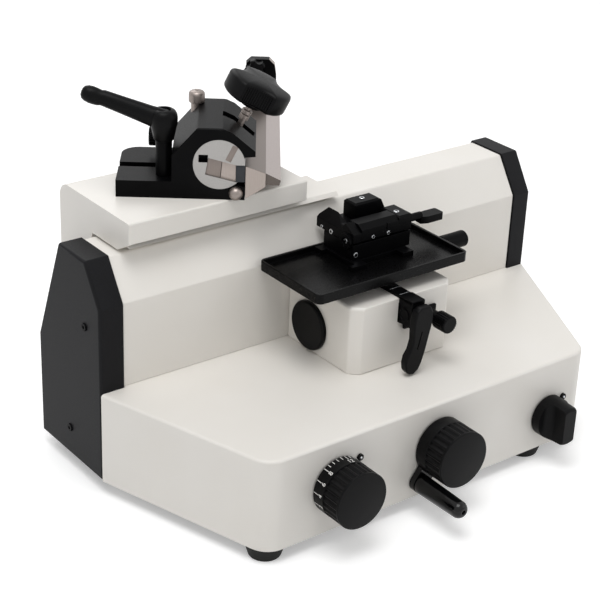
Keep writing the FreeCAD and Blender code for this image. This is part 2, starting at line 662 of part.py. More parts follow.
def sledge_cover():
    """The painted hood of the sledge that wraps over the track and down its back."""
    body = new_body("sledge_cover")
    outer = [("lip_front", "lip_bottom"), ("lip_front", "cover_top"),
             ("cover_back", "cover_top"), ("cover_back", "cover_skirt"),
             ("bed_back + slope_gap", "cover_skirt"),
             ("bed_back + slope_gap", "slide_bottom - cut_over"),
             (slope_y("slide_bottom - cut_over", "slope_gap"), "slide_bottom - cut_over"),
             ("top_back + slope_gap", "cover_under"), ("chamfer_back", "cover_under")]
    pad(body, "YZ_Plane", "sledge_start", "cover_length", outer)
    back = size("cover_back")
    top = size("cover_top")

    def long_at(edge, along, up):
        start, end = ends(edge)
        return near(start.y, along) and near(start.z, up) and near(end.y, along) \
            and near(end.z, up)
    soften(body, "cover_round", lambda edge: long_at(edge, back, top))
    soften(body, "lip_round", lambda edge: long_at(edge, size("lip_front"), top))
    inside = "cover_wall"
    hollow = [("lip_front + " + inside, "cover_top - " + inside),
              ("cover_back - cover_round", "cover_top - " + inside),
              ("cover_back - " + inside, "cover_top - cover_round"),
              ("cover_back - " + inside, "cover_skirt - cut_over"),
              ("bed_back", "cover_skirt - cut_over"),
              ("bed_back", "slide_bottom - 2 * cut_over"),
              (slope_y("slide_bottom - 2 * cut_over"), "slide_bottom - 2 * cut_over"),
              ("top_back", "cover_under - cut_over"), ("chamfer_back", "cover_under - cut_over"),
              ("lip_front + " + inside, "lip_bottom - " + inside)]
    cut(body, "YZ_Plane", "sledge_start + end_wall", "cover_length - 2 * end_wall",
        hollow, along=True)
    gate = [("skirt_front - seat_gap", "cover_under - cut_over"),
            ("top_back + seat_gap", "cover_under - cut_over"),
            ("top_back + seat_gap", "skirt_lift + skirt_thick + seat_gap"),
            ("skirt_front - seat_gap", "skirt_lift + skirt_thick + seat_gap")]
    cut(body, "YZ_Plane", "sledge_start + cover_length + cut_over", "end_wall + 2 * cut_over",
        gate)
    place(body)


def sledge_skirt():
    """The thin sliding plate under the cover that runs on past its right end."""
    body = new_body("sledge_skirt")
    outline = [("skirt_front", "skirt_lift"), ("top_back", "skirt_lift"),
               ("top_back", "skirt_lift + skirt_thick"),
               ("skirt_front + skirt_thick", "skirt_lift + skirt_thick")]
    start = "sledge_start + end_wall + seat_gap"
    pad(body, "YZ_Plane", start, "skirt_end - (%s)" % start, outline)
    place(body)


def square(half):
    """The corners of an upright square about the sketch's origin."""
    low = "-(%s)" % half
    return [(low, low), (half, low), (half, half), (low, half)]


def oblong(left, right, low, high):
    """The corners of a rectangle in a sketch."""
    return [(left, low), (right, low), (right, high), (left, high)]


def primitive(body, kind, x="0", y="0", z="0", turn=Rotation(), **formulas):
    """Add or take away a round primitive that stands at x, y, z of the body."""
    step = body.newObject("PartDesign::" + kind, body.Name + "_" + kind.lower())
    step.Placement = Placement(Vector(), turn)
    for axis, at in (("x", x), ("y", y), ("z", z)):
        step.setExpression("Placement.Base." + axis, bound(at))
    for name, formula in formulas.items():
        step.setExpression(name, bound(formula))
    return step


def level_ring(height, radius=None):
    """A test for round edges at a height of the body, of any or of one radius."""
    def test(edge):
        box = edge.BoundBox
        level = near(box.ZMin, height) and near(box.ZMax, height)
        wide = radius is None or near(box.XLength, 2 * radius)
        return level and wide and edge.Curve.TypeId == "Part::GeomCircle"
    return test


def column_guide():
    """The square tube on the base in which the lift column slides."""
    body = new_body("column_guide")
    pad(body, "XY_Plane", "0", "guide_high", square("column_half + guide_wall"))
    cut(body, "XY_Plane", "guide_high + cut_over", "guide_high + 2 * cut_over",
        square("column_half + running_gap"))
    place(body, "column_x", "-column_y", "base_height")


def lift_column():
    """The square column under the tray, bored for nut and spindle and for the tilt rod."""
    body = new_body("lift_column")
    pad(body, "XY_Plane", "0", "tray_bottom - column_bottom", square("column_half"))
    cut(body, "XY_Plane", "-cut_over", "nut_high + cut_over", rings=[("0", "0", "nut_radius")],
        along=True)
    cut(body, "XY_Plane", "-cut_over", "column_deep + cut_over",
        rings=[("0", "0", "column_bore")], along=True)
    soften(body, "column_edge", lambda edge: upright(edge) and near(
        abs(ends(edge)[0].x), size("column_half")), "Chamfer")
    cut(body, "YZ_Plane", "column_half + cut_over", "rod_deep + cut_over",
        rings=[("column_y - rod_y", "rod_z - column_bottom", "rod_radius + running_gap")])
    place(body, "column_x", "-column_y", "column_bottom")


def feed_nut():
    """The bronze nut in the foot of the lift column."""
    body = new_body("feed_nut")
    bore = "spindle_radius + running_gap"
    spin(body, "XZ_Plane", oblong(bore, "nut_radius", "0", "nut_high"))
    place(body, "column_x", "-column_y", "column_bottom")


def feed_spindle():
    """The upright feed spindle, with its journal and collar at the foot."""
    body = new_body("feed_spindle")
    collar = "boss_top + seat_gap"
    outline = [("0", "floor_plate + bracket_foot"), ("journal_radius", "floor_plate + bracket_foot"),
               ("journal_radius", collar), ("spindle_collar", collar),
               ("spindle_collar", collar + " + collar_thick"),
               ("spindle_radius", collar + " + collar_thick"),
               ("spindle_radius", "spindle_top - cut_over"),
               ("spindle_radius - cut_over", "spindle_top"), ("0", "spindle_top")]
    spin(body, "XZ_Plane", outline)
    place(body, "column_x", "-column_y", "0")


def skew_gear(name, twist):
    """A helical gear about z: toothed outlines turned step by step and joined by a loft."""
    teeth = int(size("gear_teeth"))
    tip = size("gear_radius")
    root = tip - size("tooth_deep")
    high = size("gear_high")
    layers = int(size("gear_layers"))
    flank = [tip, tip, root, root]
    radii = flank * teeth
    sections = []
    for layer in range(layers + 1):
        share = layer / layers - 1 / 2
        corners = []
        for number, radius in enumerate(radii):
            angle = math.radians(twist * share) + 2 * math.pi * number / len(radii)
            corners.append(Vector(radius * math.cos(angle), radius * math.sin(angle),
                                  high * share))
        sections.append(Part.makePolygon(corners + corners[:1]))
    blank = Part.makeLoft(sections, True, True)
    bore = Part.makeCylinder(size("shaft_radius"), high, Vector(0, 0, -high / 2))
    piece = DOC.addObject("Part::Feature", name)
    piece.Label = name
    piece.Shape = blank.cut(bore)
    PARTS.append(piece)
    return piece


def gears():
    """The two skew gears that turn the spindle from the handwheel's shaft."""
    place(skew_gear("spindle_gear", size("gear_twist")), "column_x", "-column_y", "wheel_z")
    place(skew_gear("shaft_gear", size("gear_twist")), "wheel_x", "-column_y", "wheel_z", TO_FRONT)


def gear_bracket():
    """The bracket in the base that bears the spindle's foot and the shaft's end."""
    body = new_body("gear_bracket")
    foot = "floor_plate"
    base = oblong("bracket_left", "bracket_right", "-bracket_front", "-bracket_back")
    pad(body, "XY_Plane", foot, "bracket_foot", base)
    wall = oblong("bracket_left", "bracket_right", "-bracket_back - bracket_thick", "-bracket_back")
    pad(body, "XY_Plane", foot, "bracket_top - floor_plate", wall)
    pad(body, "XY_Plane", foot, "boss_top - floor_plate",
        rings=[("column_x", "-column_y", "boss_radius")])
    cut(body, "XY_Plane", "boss_top + cut_over",
        "boss_top + cut_over - floor_plate - bracket_foot + seat_gap",
        rings=[("column_x", "-column_y", "journal_radius + running_gap")])
    cut(body, "XZ_Plane", "bracket_back + bracket_thick + cut_over", "bracket_thick + 2 * cut_over",
        rings=[("wheel_x", "wheel_z", "journal_radius + running_gap")])
    place(body)


def knob_bushes():
    """Three flanged bushes through the front wall, one behind each knob."""
    solids = []
    front = -size("base_front")
    flange = size("bush_flange")
    for across, up in KNOB_SPOTS:
        at = Vector(size(across), front, size(up))
        back = Vector(0, 1, 0)
        bush = Part.makeCylinder(size("bush_radius"), size("bush_long"), at, back)
        collar = Part.makeCylinder(size("bush_collar"), flange, at - back * flange, back)
        bore = Part.makeCylinder(size("shaft_radius") + size("running_gap"),
                                 size("bush_long") + 2 * flange, at - back * flange, back)
        solids.append(bush.fuse(collar).cut(bore).removeSplitter())
    group("knob_bushes", solids)


def knob_shaft(name, across, up, inner):
    """A shaft from inside the base to its knob, with whatever it carries at its end."""
    body = new_body(name)
    tip = "knob_gap + knob_bore"
    spin(body, "XZ_Plane", inner + [("shaft_radius", tip), ("0", tip)])
    place(body, across, "-base_front", up, TO_FRONT)


def knob_shafts():
    """The shafts of the dial and the handwheel."""
    cam = [("0", "-cam_in"), ("cam_radius", "-cam_in"), ("cam_radius", "-cam_in + cam_thick"),
           ("shaft_radius", "-cam_in + cam_thick")]
    knob_shaft("dial_shaft", "dial_x", "dial_z", cam)
    end = "-base_front + bracket_back - cut_over"
    step = "-base_front + bracket_back + bracket_thick + seat_gap"
    journal = [("0", end), ("journal_radius", end), ("journal_radius", step),
               ("shaft_radius", step)]
    knob_shaft("handwheel_shaft", "wheel_x", "wheel_z", journal)


def thickness_dial():
    """The section thickness dial: a graduated ring behind a fluted grip."""
    body = new_body("thickness_dial")
    front = "knob_gap + dial_long"
    ring = "knob_gap + ring_long"
    outline = [("0", "knob_gap"), ("dial_radius", "knob_gap"), ("dial_radius", ring),
               ("dial_radius - ring_step", ring), ("dial_radius - ring_step", ring + " + ring_step"),
               ("dial_radius", ring + " + ring_step"), ("dial_radius", front + " - knob_round"),
               ("dial_radius - knob_round", front), ("0", front)]
    spin(body, "XZ_Plane", outline)
    cut(body, "XY_Plane", "0", "knob_gap + knob_bore", rings=[("0", "0", "shaft_radius")],
        along=True)
    flute = cut(body, "XY_Plane", ring, "dial_long", rings=[("dial_radius", "0", "flute_radius")],
                along=True)
    repeat_round(body, flute, "flutes")
    place(body, "dial_x", "-base_front", "dial_z", TO_FRONT)


def handwheel():
    """The fluted feed wheel, slotted at the back for its crank arm."""
    body = new_body("handwheel")
    front = "knob_gap + wheel_long"
    outline = [("0", "knob_gap"), ("wheel_radius", "knob_gap"), ("wheel_radius", front + " - knob_round"),
               ("wheel_radius - knob_round", front), ("0", front)]
    spin(body, "XZ_Plane", outline)
    flute = cut(body, "XY_Plane", "0", "knob_gap + wheel_long + cut_over",
                rings=[("wheel_radius", "0", "flute_radius")], along=True)
    repeat_round(body, flute, "wheel_flutes")
    cut(body, "XY_Plane", "0", "knob_gap + crank_thick",
        oblong("0", "wheel_radius + cut_over", "-crank_half", "crank_half"), along=True)
    cut(body, "XY_Plane", "0", "knob_gap + crank_thick", rings=[("0", "0", "crank_half")],
        along=True)
    cut(body, "XY_Plane", "0", "knob_gap + knob_bore", rings=[("0", "0", "shaft_radius")],
        along=True)
    place(body, "wheel_x", "-base_front", "wheel_z", crank_turn())


def crank_turn():
    """The turn that brings a crank drawn along x to its place on the front."""
    return TO_FRONT.multiply(Rotation(Vector(0, 0, 1), size("crank_angle")))


def crank_arm():
    """The crank arm behind the wheel, with the pin on which its grip turns."""
    body = new_body("crank_arm")
    pad(body, "XY_Plane", "knob_gap", "crank_thick", rings=[("0", "0", "crank_half")])
    pad(body, "XY_Plane", "knob_gap", "crank_thick", rings=[("crank_radius", "0", "crank_half")])
    pad(body, "XY_Plane", "knob_gap", "crank_thick",
        oblong("0", "crank_radius", "-crank_half", "crank_half"))
    pad(body, "XY_Plane", "knob_gap", "crank_thick + grip_gap + grip_long - grip_pin_short",
        rings=[("crank_radius", "0", "grip_pin")])
    cut(body, "XY_Plane", "0", "knob_gap + crank_thick + cut_over",
        rings=[("0", "0", "shaft_radius")], along=True)
    place(body, "wheel_x", "-base_front", "wheel_z", crank_turn())


def crank_grip():
    """The tapered grip that spins on the crank's pin."""
    body = new_body("crank_grip")
    bore = "grip_pin + running_gap"
    outline = [(bore, "0"), ("grip_base", "0"), ("grip_tip", "grip_long"), (bore, "grip_long")]
    spin(body, "XZ_Plane", outline)
    length = size("grip_long")
    soften(body, "grip_round", level_ring(length, size("grip_tip")))
    soften(body, "grip_foot_round", level_ring(0, size("grip_base")))
    place(body, "wheel_x + crank_radius * cos(crank_angle)",
          "-base_front - knob_gap - crank_thick - grip_gap",
          "wheel_z + crank_radius * sin(crank_angle)", TO_FRONT)


def selector_knob():
    """The selector: a round foot with a straight wing across it and a shaft behind it."""
    body = new_body("selector_knob")
    pad(body, "XY_Plane", "knob_gap", "selector_base", rings=[("0", "0", "selector_radius")])
    pad(body, "XY_Plane", "knob_gap", "selector_long",
        oblong("-wing_half", "wing_half", "-wing_reach", "wing_reach"))
    top = size("knob_gap") + size("selector_long")
    soften(body, "wing_round", flat_at("Z", top))
    pad(body, "XY_Plane", "-cam_in", "cam_in + knob_gap", rings=[("0", "0", "shaft_radius")])
    pad(body, "XY_Plane", "-cam_in", "cam_thick", rings=[("0", "0", "cam_radius")])
    place(body, "selector_x", "-base_front", "selector_z", TO_FRONT)


def index_pins():
    """The two small pins that the dial and the selector are read against."""
    solids = []
    for across, up in (("dial_pin_x", "dial_pin_z"), ("selector_pin_x", "selector_pin_z")):
        pin = Part.makeCylinder(size("index_pin_radius"), size("index_pin_long"),
                                Vector(size(across), -size("base_front"), size(up)),
                                Vector(0, -1, 0))
        tip = -size("base_front") - size("index_pin_long")
        rim = [edge for edge in pin.Edges if flat_at("Y", tip)(edge)]
        solids.append(pin.makeFillet(size("index_pin_edge"), rim))
    group("index_pins", solids)


def lock_arm():
    """The arm that comes out over the housing, bends down its front and ends in a hub."""
    body = new_body("lock_arm")
    face = "block_front"
    top = "block_top + arm_thick"
    pad(body, "XY_Plane", "block_top", "arm_thick",
        oblong("arm_x", "arm_x + arm_wide", "-block_front - arm_thick",
               "-column_y - column_half - seat_gap"))
    drop = [("arm_x", "arm_foot"), ("arm_right", "arm_foot"), ("arm_right", "arm_step"),
            ("arm_x + arm_wide", "arm_step"), ("arm_x + arm_wide", top), ("arm_x", top)]
    pad(body, "XZ_Plane", face, "arm_thick", drop)
    lug = oblong("arm_hub_x", "lug_right", "lug_foot", "lug_top")
    pad(body, "XZ_Plane", face + " + seat_gap", "arm_thick - seat_gap", lug)
    front = face + " + arm_thick"
    pad(body, "XZ_Plane", front, "arm_hub_long", rings=[("arm_hub_x", "arm_hub_z", "arm_hub_radius")])
    hub = front + " + arm_hub_long"
    pad(body, "XZ_Plane", hub, "lock_lever_thick - cut_over", rings=[("arm_hub_x", "arm_hub_z", "arm_pin")])
    cut(body, "XZ_Plane", front + " + cut_over", "arm_knob_deep + cut_over",
        rings=[("arm_knob_x", "arm_knob_z", "arm_knob_stud + running_gap")])
    long = -size("block_front") - size("arm_thick")
    roof = size("block_top") + size("arm_thick")
    soften(body, "arm_thick / 2", lambda edge: flat_at("Y", long)(edge) and near(
        edge.BoundBox.ZMin, roof))
    place(body)


def lock_lever():
    """The hanging lever that clamps the arm, waisted and round at its tip."""
    body = new_body("lock_lever")
    thick = "lock_lever_thick"
    grip = [("-lever_tip", "-lock_lever_long"), ("lever_tip", "-lock_lever_long"),
            ("lever_waist", "-lever_waist_at"), ("lever_tip", "0"), ("-lever_tip", "0"),
            ("-lever_waist", "-lever_waist_at")]
    pad(body, "XY_Plane", "0", thick, grip)
    pad(body, "XY_Plane", "0", thick, rings=[("0", "-lock_lever_long", "lever_tip")])
    pad(body, "XY_Plane", "0", thick, rings=[("0", "0", "lock_lever_hub")])
    cut(body, "XY_Plane", "0", "lock_lever_thick - cut_over + seat_gap",
        rings=[("0", "0", "arm_pin + running_gap")], along=True)
    high = size(thick)
    soften(body, "lock_lever_round", flat_at("Z", high))
    turn = TO_FRONT.multiply(Rotation(Vector(0, 0, 1), -size("lock_lever_lean")))
    place(body, "arm_hub_x", "-block_front - arm_thick - arm_hub_long - seat_gap", "arm_hub_z", turn)


def knurled_knob(name, radius, long, stud, deep, flute, count):
    """A small knob about z with a fluted rim and a stud behind it."""
    body = new_body(name)
    edge = flute + " * 2"
    outline = [("0", "0"), (radius + " - " + edge, "0"), (radius, edge),
               (radius, "%s - %s" % (long, edge)), ("%s - %s" % (radius, edge), long), ("0", long)]
    spin(body, "XZ_Plane", outline)
    groove = cut(body, "XY_Plane", "-cut_over", long + " + 2 * cut_over",
                 rings=[(radius, "0", flute)], along=True)
    repeat_round(body, groove, count)
    pad(body, "XY_Plane", "0", deep, rings=[("0", "0", stud)], back=True)
    return body


def arm_knob():
    """The knurled screw beside the lever."""
    body = knurled_knob("arm_knob", "arm_knob_radius", "arm_knob_long", "arm_neck",
                        "arm_neck_long", "arm_knob_flute", "arm_knob_flutes")
    pad(body, "XY_Plane", "-arm_neck_long", "arm_knob_deep",
        rings=[("0", "0", "arm_knob_stud")], back=True)
    place(body, "arm_knob_x", "-block_front - arm_thick - seat_gap - arm_neck_long",
          "arm_knob_z", TO_FRONT)


def specimen_tray():
    """The tray under the clamp, with a raised rim and round corners."""
    body = new_body("specimen_tray")
    pad(body, "XY_Plane", "tray_bottom", "tray_top - tray_bottom",
        oblong("tray_left", "tray_right", "-tray_front", "-tray_back"))
    soften(body, "tray_round", upright)
    cut(body, "XY_Plane", "tray_top + cut_over", "tray_top + cut_over - tray_bottom - tray_floor",
        oblong("tray_left + tray_rim", "tray_right - tray_rim", "-tray_front + tray_rim",
               "-tray_back - tray_rim"))
    top = size("tray_top")
    low = size("tray_bottom")
    soften(body, "tray_edge", lambda edge: flat_at("Z", top)(edge) or flat_at("Z", low)(edge))
    place(body)


def clamp_foot():
    """The flat plate under the clamp, notched in front and with a tab at the back."""
    body = new_body("clamp_foot")
    floor = "tray_bottom + tray_floor"
    back = "-tray_back - tray_rim - seat_gap"
    outline = [("foot_plate_left", "-foot_plate_front"), ("notch_left", "-foot_plate_front"),
               ("notch_left", "-foot_plate_front + notch_deep"),
               ("notch_right", "-foot_plate_front + notch_deep"),
               ("notch_right", "-foot_plate_front"), ("foot_plate_right", "-foot_plate_front"),
               ("foot_plate_right", back), ("foot_plate_left", back),
               ("foot_plate_left", back + " - foot_plate_tab"),
               ("foot_plate_waist", back + " - foot_plate_tab"),
               ("foot_plate_waist", "-foot_plate_front + foot_plate_tab / 2"),
               ("foot_plate_left", "-foot_plate_front + foot_plate_tab / 2")]
    pad(body, "XY_Plane", floor, "foot_plate_top - tray_bottom - tray_floor", outline)
    place(body)


def clamp_base():
    """The lower half of the clamp, which stands on the foot plate."""
    body = new_body("clamp_base")
    pad(body, "XY_Plane", "foot_plate_top", "clamp_seam - foot_plate_top",
        oblong("clamp_left", "clamp_right", "-clamp_front", "-tray_back - tray_rim - seat_gap"))
    soften(body, "clamp_edge", upright, "Chamfer")
    place(body)


def tilt_screw():
    """The rod under the tray with a round knob, which sets the clamp's tilt."""
    body = new_body("tilt_screw")
    start = "column_x + column_half - rod_deep + seat_gap"
    outline = [("0", start), ("rod_radius", start), ("rod_radius", "rod_knob_start"),
               ("rod_knob - rod_round", "rod_knob_start"),
               ("rod_knob", "rod_knob_start + rod_round"), ("rod_knob", "rod_end - rod_round"),
               ("rod_knob - rod_round", "rod_end"), ("0", "rod_end")]
    spin(body, "XZ_Plane", outline)
    place(body, "0", "-rod_y", "rod_z", TO_RIGHT)


def clamp_body():
    """The upper half of the clamp: front jaw, jaw floor and seat of the side block."""
    body = new_body("clamp_body")
    seam = "clamp_seam + seat_gap"
    section = [("-clamp_front", seam + " + clamp_relief"), ("-pivot_y", seam),
               ("-clamp_back", seam), ("-clamp_back", "jaw_floor"),
               ("-front_jaw_back", "jaw_floor"), ("-front_jaw_back", "front_jaw_top"),
               ("-front_jaw_slope", "front_jaw_top"), ("-clamp_front", "front_jaw_brow")]
    pad(body, "YZ_Plane", "clamp_left + cheek_thick", "clamp_right - clamp_left - cheek_thick",
        section)
    cut(body, "XY_Plane", "front_jaw_top + cut_over", "front_jaw_top + cut_over - jaw_floor",
        oblong("side_block_left", "clamp_right + cut_over", "-clamp_front - cut_over",
               "-side_block_back"))
    cut(body, "YZ_Plane", "clamp_right + cut_over", "paddle_deep + cut_over",
        rings=[("-paddle_y", "paddle_z", "paddle_rod + running_gap")])
    cut(body, "XZ_Plane", "clamp_front + cut_over", "jaw_slot + cut_over",
        oblong("jaw_slot_x", "jaw_slot_x + jaw_slot", "jaw_slot_low", "front_jaw_top + cut_over"))
    place(body)


def clamp_cheek():
    """The end plate of the clamp, bevelled above its screws, with the hinge barrel."""
    body = new_body("clamp_cheek")
    seam = "clamp_seam + seat_gap"
    outline = [("-clamp_front", seam + " + clamp_relief"), ("-pivot_y", seam),
               ("cheek_back", seam), ("cheek_back", "cheek_back_z"),
               ("cheek_peak_back", "cheek_peak"), ("-cheek_ridge_y", "cheek_peak"),
               ("-cheek_valley_y", "front_jaw_brow"),
               ("-front_jaw_back", "front_jaw_brow"), ("-cheek_top_y", "cheek_top"),
               ("-clamp_front", "cheek_brow")]
    pad(body, "YZ_Plane", "clamp_left", "cheek_thick", outline)
    left = "clamp_left - cut_over"
    brow = "cheek_peak + cut_over"
    cut(body, "XZ_Plane", "front_jaw_back", "front_jaw_back + cheek_back + cut_over",
        [(left, "jaw_floor - cut_over"), ("clamp_left + %s - jaw_floor" % brow, brow),
         (left, brow)])
    pad(body, "YZ_Plane", "clamp_left", "barrel_out",
        rings=[("-pivot_y", "pivot_z", "barrel_radius")], back=True)
    cut(body, "YZ_Plane", "clamp_left - barrel_out - cut_over", "barrel_out / 2 + cut_over",
        rings=[("-pivot_y", "pivot_z", "barrel_radius / 2")], along=True)
    place(body)


def side_block():
    """The block at the right end of the jaws."""
    body = new_body("side_block")
    pad(body, "XY_Plane", "jaw_floor", "side_block_top - jaw_floor",
        oblong("side_block_left", "side_block_right", "-clamp_front", "-side_block_back"))
    top = size("side_block_top")
    soften(body, "side_block_edge", flat_at("Z", top), "Chamfer")
    place(body)


def rear_jaw():
    """The tall jaw that closes toward the front, its right flank sloped."""
    body = new_body("rear_jaw")
    flank = [("rear_jaw_left", "jaw_floor + seat_gap"), ("rear_jaw_foot", "jaw_floor + seat_gap"),
             ("rear_jaw_right", "rear_jaw_top"), ("rear_jaw_left", "rear_jaw_top")]
    pad(body, "XZ_Plane", "rear_jaw_back", "rear_jaw_front - rear_jaw_back", flank)
    top = size("rear_jaw_top")
    soften(body, "side_block_edge", flat_at("Z", top), "Chamfer")
    place(body)


def clamp_screws():
    """Socket screws in the clamp's cheek, front jaw, side block and rear jaw."""
    out = size("clamp_screw_out")
    radius = size("clamp_screw_radius")
    left = size("clamp_left")
    front = -size("clamp_front")
    low = size("pivot_z") + out * 2
    spots = [(Vector(left, -size("cheek_screw_y"), low), Vector(-1, 0, 0)),
             (Vector(left, -size("rear_jaw_back") / 2, low), Vector(-1, 0, 0)),
             (Vector(size("jaw_slot_x") + radius, front, size("pivot_z") + radius),
              Vector(0, -1, 0)),
             (Vector(size("rear_jaw_left"), front, size("pivot_z") + radius), Vector(0, -1, 0)),
             (Vector((size("side_block_left") + size("side_block_right")) / 2,
                     -(size("clamp_front") + size("side_block_back")) / 2,
                     size("side_block_top")), Vector(0, 0, 1))]
    solids = []
    for at, way in spots:
        head = Part.makeCylinder(radius, out, at, way)
        socket = Part.makeCylinder(radius / 2, out, at + way * out / 2, way)
        solids.append(head.cut(socket))
    group("clamp_screws", solids)


def paddle_lever():
    """The lever at the right that works the jaw, ending in a flat paddle."""
    body = new_body("paddle_lever")
    start = "clamp_right - paddle_deep + seat_gap"
    pad(body, "YZ_Plane", start, "paddle_start + paddle_round - (%s)" % start,
        rings=[("-paddle_y", "paddle_z", "paddle_rod")])
    shoulder = "paddle_start + paddle_thick"
    front = "-paddle_y - paddle_wide / 2"
    rear = "-paddle_y + paddle_wide / 2"
    blade = [("paddle_start", "-paddle_y - paddle_rod"), (shoulder, front),
             ("paddle_end", front), ("paddle_end", rear), (shoulder, rear),
             ("paddle_start", "-paddle_y + paddle_rod")]
    pad(body, "XY_Plane", "paddle_z - paddle_thick", "paddle_thick", blade)
    far = size("paddle_end")
    soften(body, "paddle_round", lambda edge: upright(edge) and near(ends(edge)[0].x, far))
    place(body)


def holder_body():
    """The knife holder: a low tongue, a high jaw body round the bore, open at the right."""
    body = new_body("holder_body")
    section = [("body_left", "0"), ("body_left", "body_shoulder"), ("crown_left", "body_top"),
               ("crown_right", "body_top"), ("ridge_x", "ridge_z"), ("beak_x", "beak_z"),
               ("beak_x", "beak_low"), ("mouth_x", "mouth_z"), ("chin_x", "chin_z"),
               ("holder_width", "chin_edge"), ("holder_width", "0")]
    pad(body, "XZ_Plane", "0", "body_depth", section, back=True)
    tongue = [("0", "0"), ("body_left", "0"), ("body_left", "tongue_depth"),
              ("0", "tongue_depth")]
    pad(body, "XY_Plane", "0", "tongue_height", tongue)
    far = size("tongue_depth")
    soften(body, "tongue_round",
           lambda edge: upright(edge) and near(ends(edge)[0].y, far) and near(ends(edge)[0].x, 0))
    middle = "groove_front + groove_wide / 2"
    groove = oblong("%s - groove_wide / 2" % middle, "%s + groove_wide / 2" % middle,
                    "tongue_height - groove_deep", "tongue_height + cut_over")
    cut(body, "YZ_Plane", "-cut_over", "body_left - cut_over", groove, along=True)
    tee = oblong("%s - tee_wide / 2" % middle, "%s + tee_wide / 2" % middle,
                 "tongue_height - groove_deep", "tongue_height - groove_deep + tee_high")
    cut(body, "YZ_Plane", "-cut_over", "body_left - cut_over", tee, along=True)
    cut(body, "XZ_Plane", "cut_over", "body_depth + 2 * cut_over",
        rings=[("bore_x", "bore_z", "bore_radius")])
    reach = "slot_reach"
    slot = [("bore_x", "bore_z")]
    for angle in ("slot_from_angle", "slot_to_angle"):
        slot.append(("bore_x + %s * sin(%s)" % (reach, angle),
                     "bore_z + %s * cos(%s)" % (reach, angle)))
    cut(body, "XZ_Plane", "-slot_y + slot_wide / 2", "slot_wide", slot)
    cut(body, "XY_Plane", "body_top + cut_over", "body_top + cut_over - pin_foot",
        rings=[("pin_x", "pin_y", "pin_neck")])
    cut(body, "YZ_Plane", "body_left - cut_over", "lock_deep + seat_gap + cut_over",
        rings=[("lock_y", "lock_z", "lock_stud + running_gap")], along=True)
    crown = size("body_top")
    soften(body, "holder_edge", lambda edge: near(edge.BoundBox.ZMax, crown)
           and near(edge.BoundBox.ZMin, crown) and edge.Length > size("tongue_height"), "Chamfer")
    holder_place(body)


def clamp_post():
    """The post on the tongue that bears the clamping lever."""
    body = new_body("clamp_post")
    outline = [("0", "0"), ("post_radius", "0"), ("post_radius", "post_height"),
               ("post_neck", "post_height"), ("post_neck", "post_height + post_neck_long"),
               ("0", "post_height + post_neck_long")]
    spin(body, "XZ_Plane", outline)
    holder_place(body, "post_x", "post_y", "tongue_height")


def clamp_lever():
    """The clamping lever: a domed hub, a rising square arm and a ball at its end."""
    body = new_body("clamp_lever")
    root = "hub_high - hub_round"
    arm = [("0", root + " - lever_high"), ("0", root), ("-hub_radius / 2", root),
           ("-lever_out", "lever_up + lever_end / 2"), ("-lever_out", "lever_up - lever_end / 2"),
           ("-hub_radius", root + " - lever_high")]
    pad(body, "XZ_Plane", "0", "lever_wide", arm, both=True)
    side = size("lever_wide") / 2
    rise = size("lever_high")

    def rail(edge):
        start, end = ends(edge)
        return near(start.y, end.y) and near(abs(start.y), side) and edge.Length > rise * 2
    soften(body, "lever_edge", rail, "Chamfer")
    hub = [("0", "0"), ("hub_radius", "0"), ("hub_radius", root),
           ("hub_radius - hub_round / 2", "hub_high - hub_round / 4"),
           ("hub_radius - hub_round", "hub_high"), ("0", "hub_high")]
    spin(body, "XZ_Plane", hub)
    cut(body, "XY_Plane", "-cut_over", "post_neck_long + seat_gap + cut_over",
        rings=[("0", "0", "post_neck + running_gap")], along=True)
    primitive(body, "AdditiveSphere", "-lever_out", "0", "lever_up",
              Rotation(Vector(0, 0, 1), 180), Radius="ball_radius")
    holder_place(body, "post_x", "post_y", "tongue_height + post_height + seat_gap")


def tee_nut():
    """The nut in the tongue's T-slot that holds the holder down."""
    body = new_body("tee_nut")
    middle = "groove_front + groove_wide / 2"
    gap = "seat_gap"
    low = "tongue_height - groove_deep"
    foot = oblong("%s - tee_wide / 2 + %s" % (middle, gap), "%s + tee_wide / 2 - %s" % (middle, gap),
                  low, low + " + tee_high - " + gap)
    pad(body, "YZ_Plane", "nut_inset", "nut_long", foot)
    neck = oblong("%s - groove_wide / 2 + %s" % (middle, gap), "%s + groove_wide / 2 - %s" % (middle, gap),
                  low, "tongue_height - holder_edge")
    pad(body, "YZ_Plane", "nut_inset", "nut_long", neck)
    holder_place(body)


def locating_pin():
    """The chrome pin with a domed head on the holder's left shoulder."""
    body = new_body("locating_pin")
    head = "body_top + seat_gap"
    outline = [("0", "pin_foot"), ("pin_neck", "pin_foot"), ("pin_neck", head),
               ("pin_radius", head), ("pin_radius", "pin_top"), ("0", "pin_top")]
    spin(body, "XZ_Plane", outline)
    high = size("pin_top")
    soften(body, "pin_round", level_ring(high))
    holder_place(body, "pin_x", "pin_y", "0")


def front_stop():
    """The bright button low on the holder's front face."""
    body = new_body("front_stop")
    spin(body, "XZ_Plane", oblong("0", "stop_radius", "0", "stop_out"))
    high = size("stop_out")
    soften(body, "stop_round", level_ring(high))
    holder_place(body, "stop_x", "0", "stop_z", TO_FRONT)


def side_lock():
    """The small knurled lock screw in the holder's left wall."""
    body = knurled_knob("side_lock", "lock_radius", "lock_long", "lock_stud",
                        "lock_reach + lock_deep", "lock_flute", "lock_flutes")
    holder_place(body, "body_left - lock_reach", "lock_y", "lock_z", TO_LEFT)


def carrier_section():
    """The knife carrier's section in the holder's x and z."""
    return [("carrier_x", "carrier_top"), ("carrier_low_x", "carrier_low"),
            ("carrier_right", "carrier_foot"), ("carrier_right", "carrier_brow")]


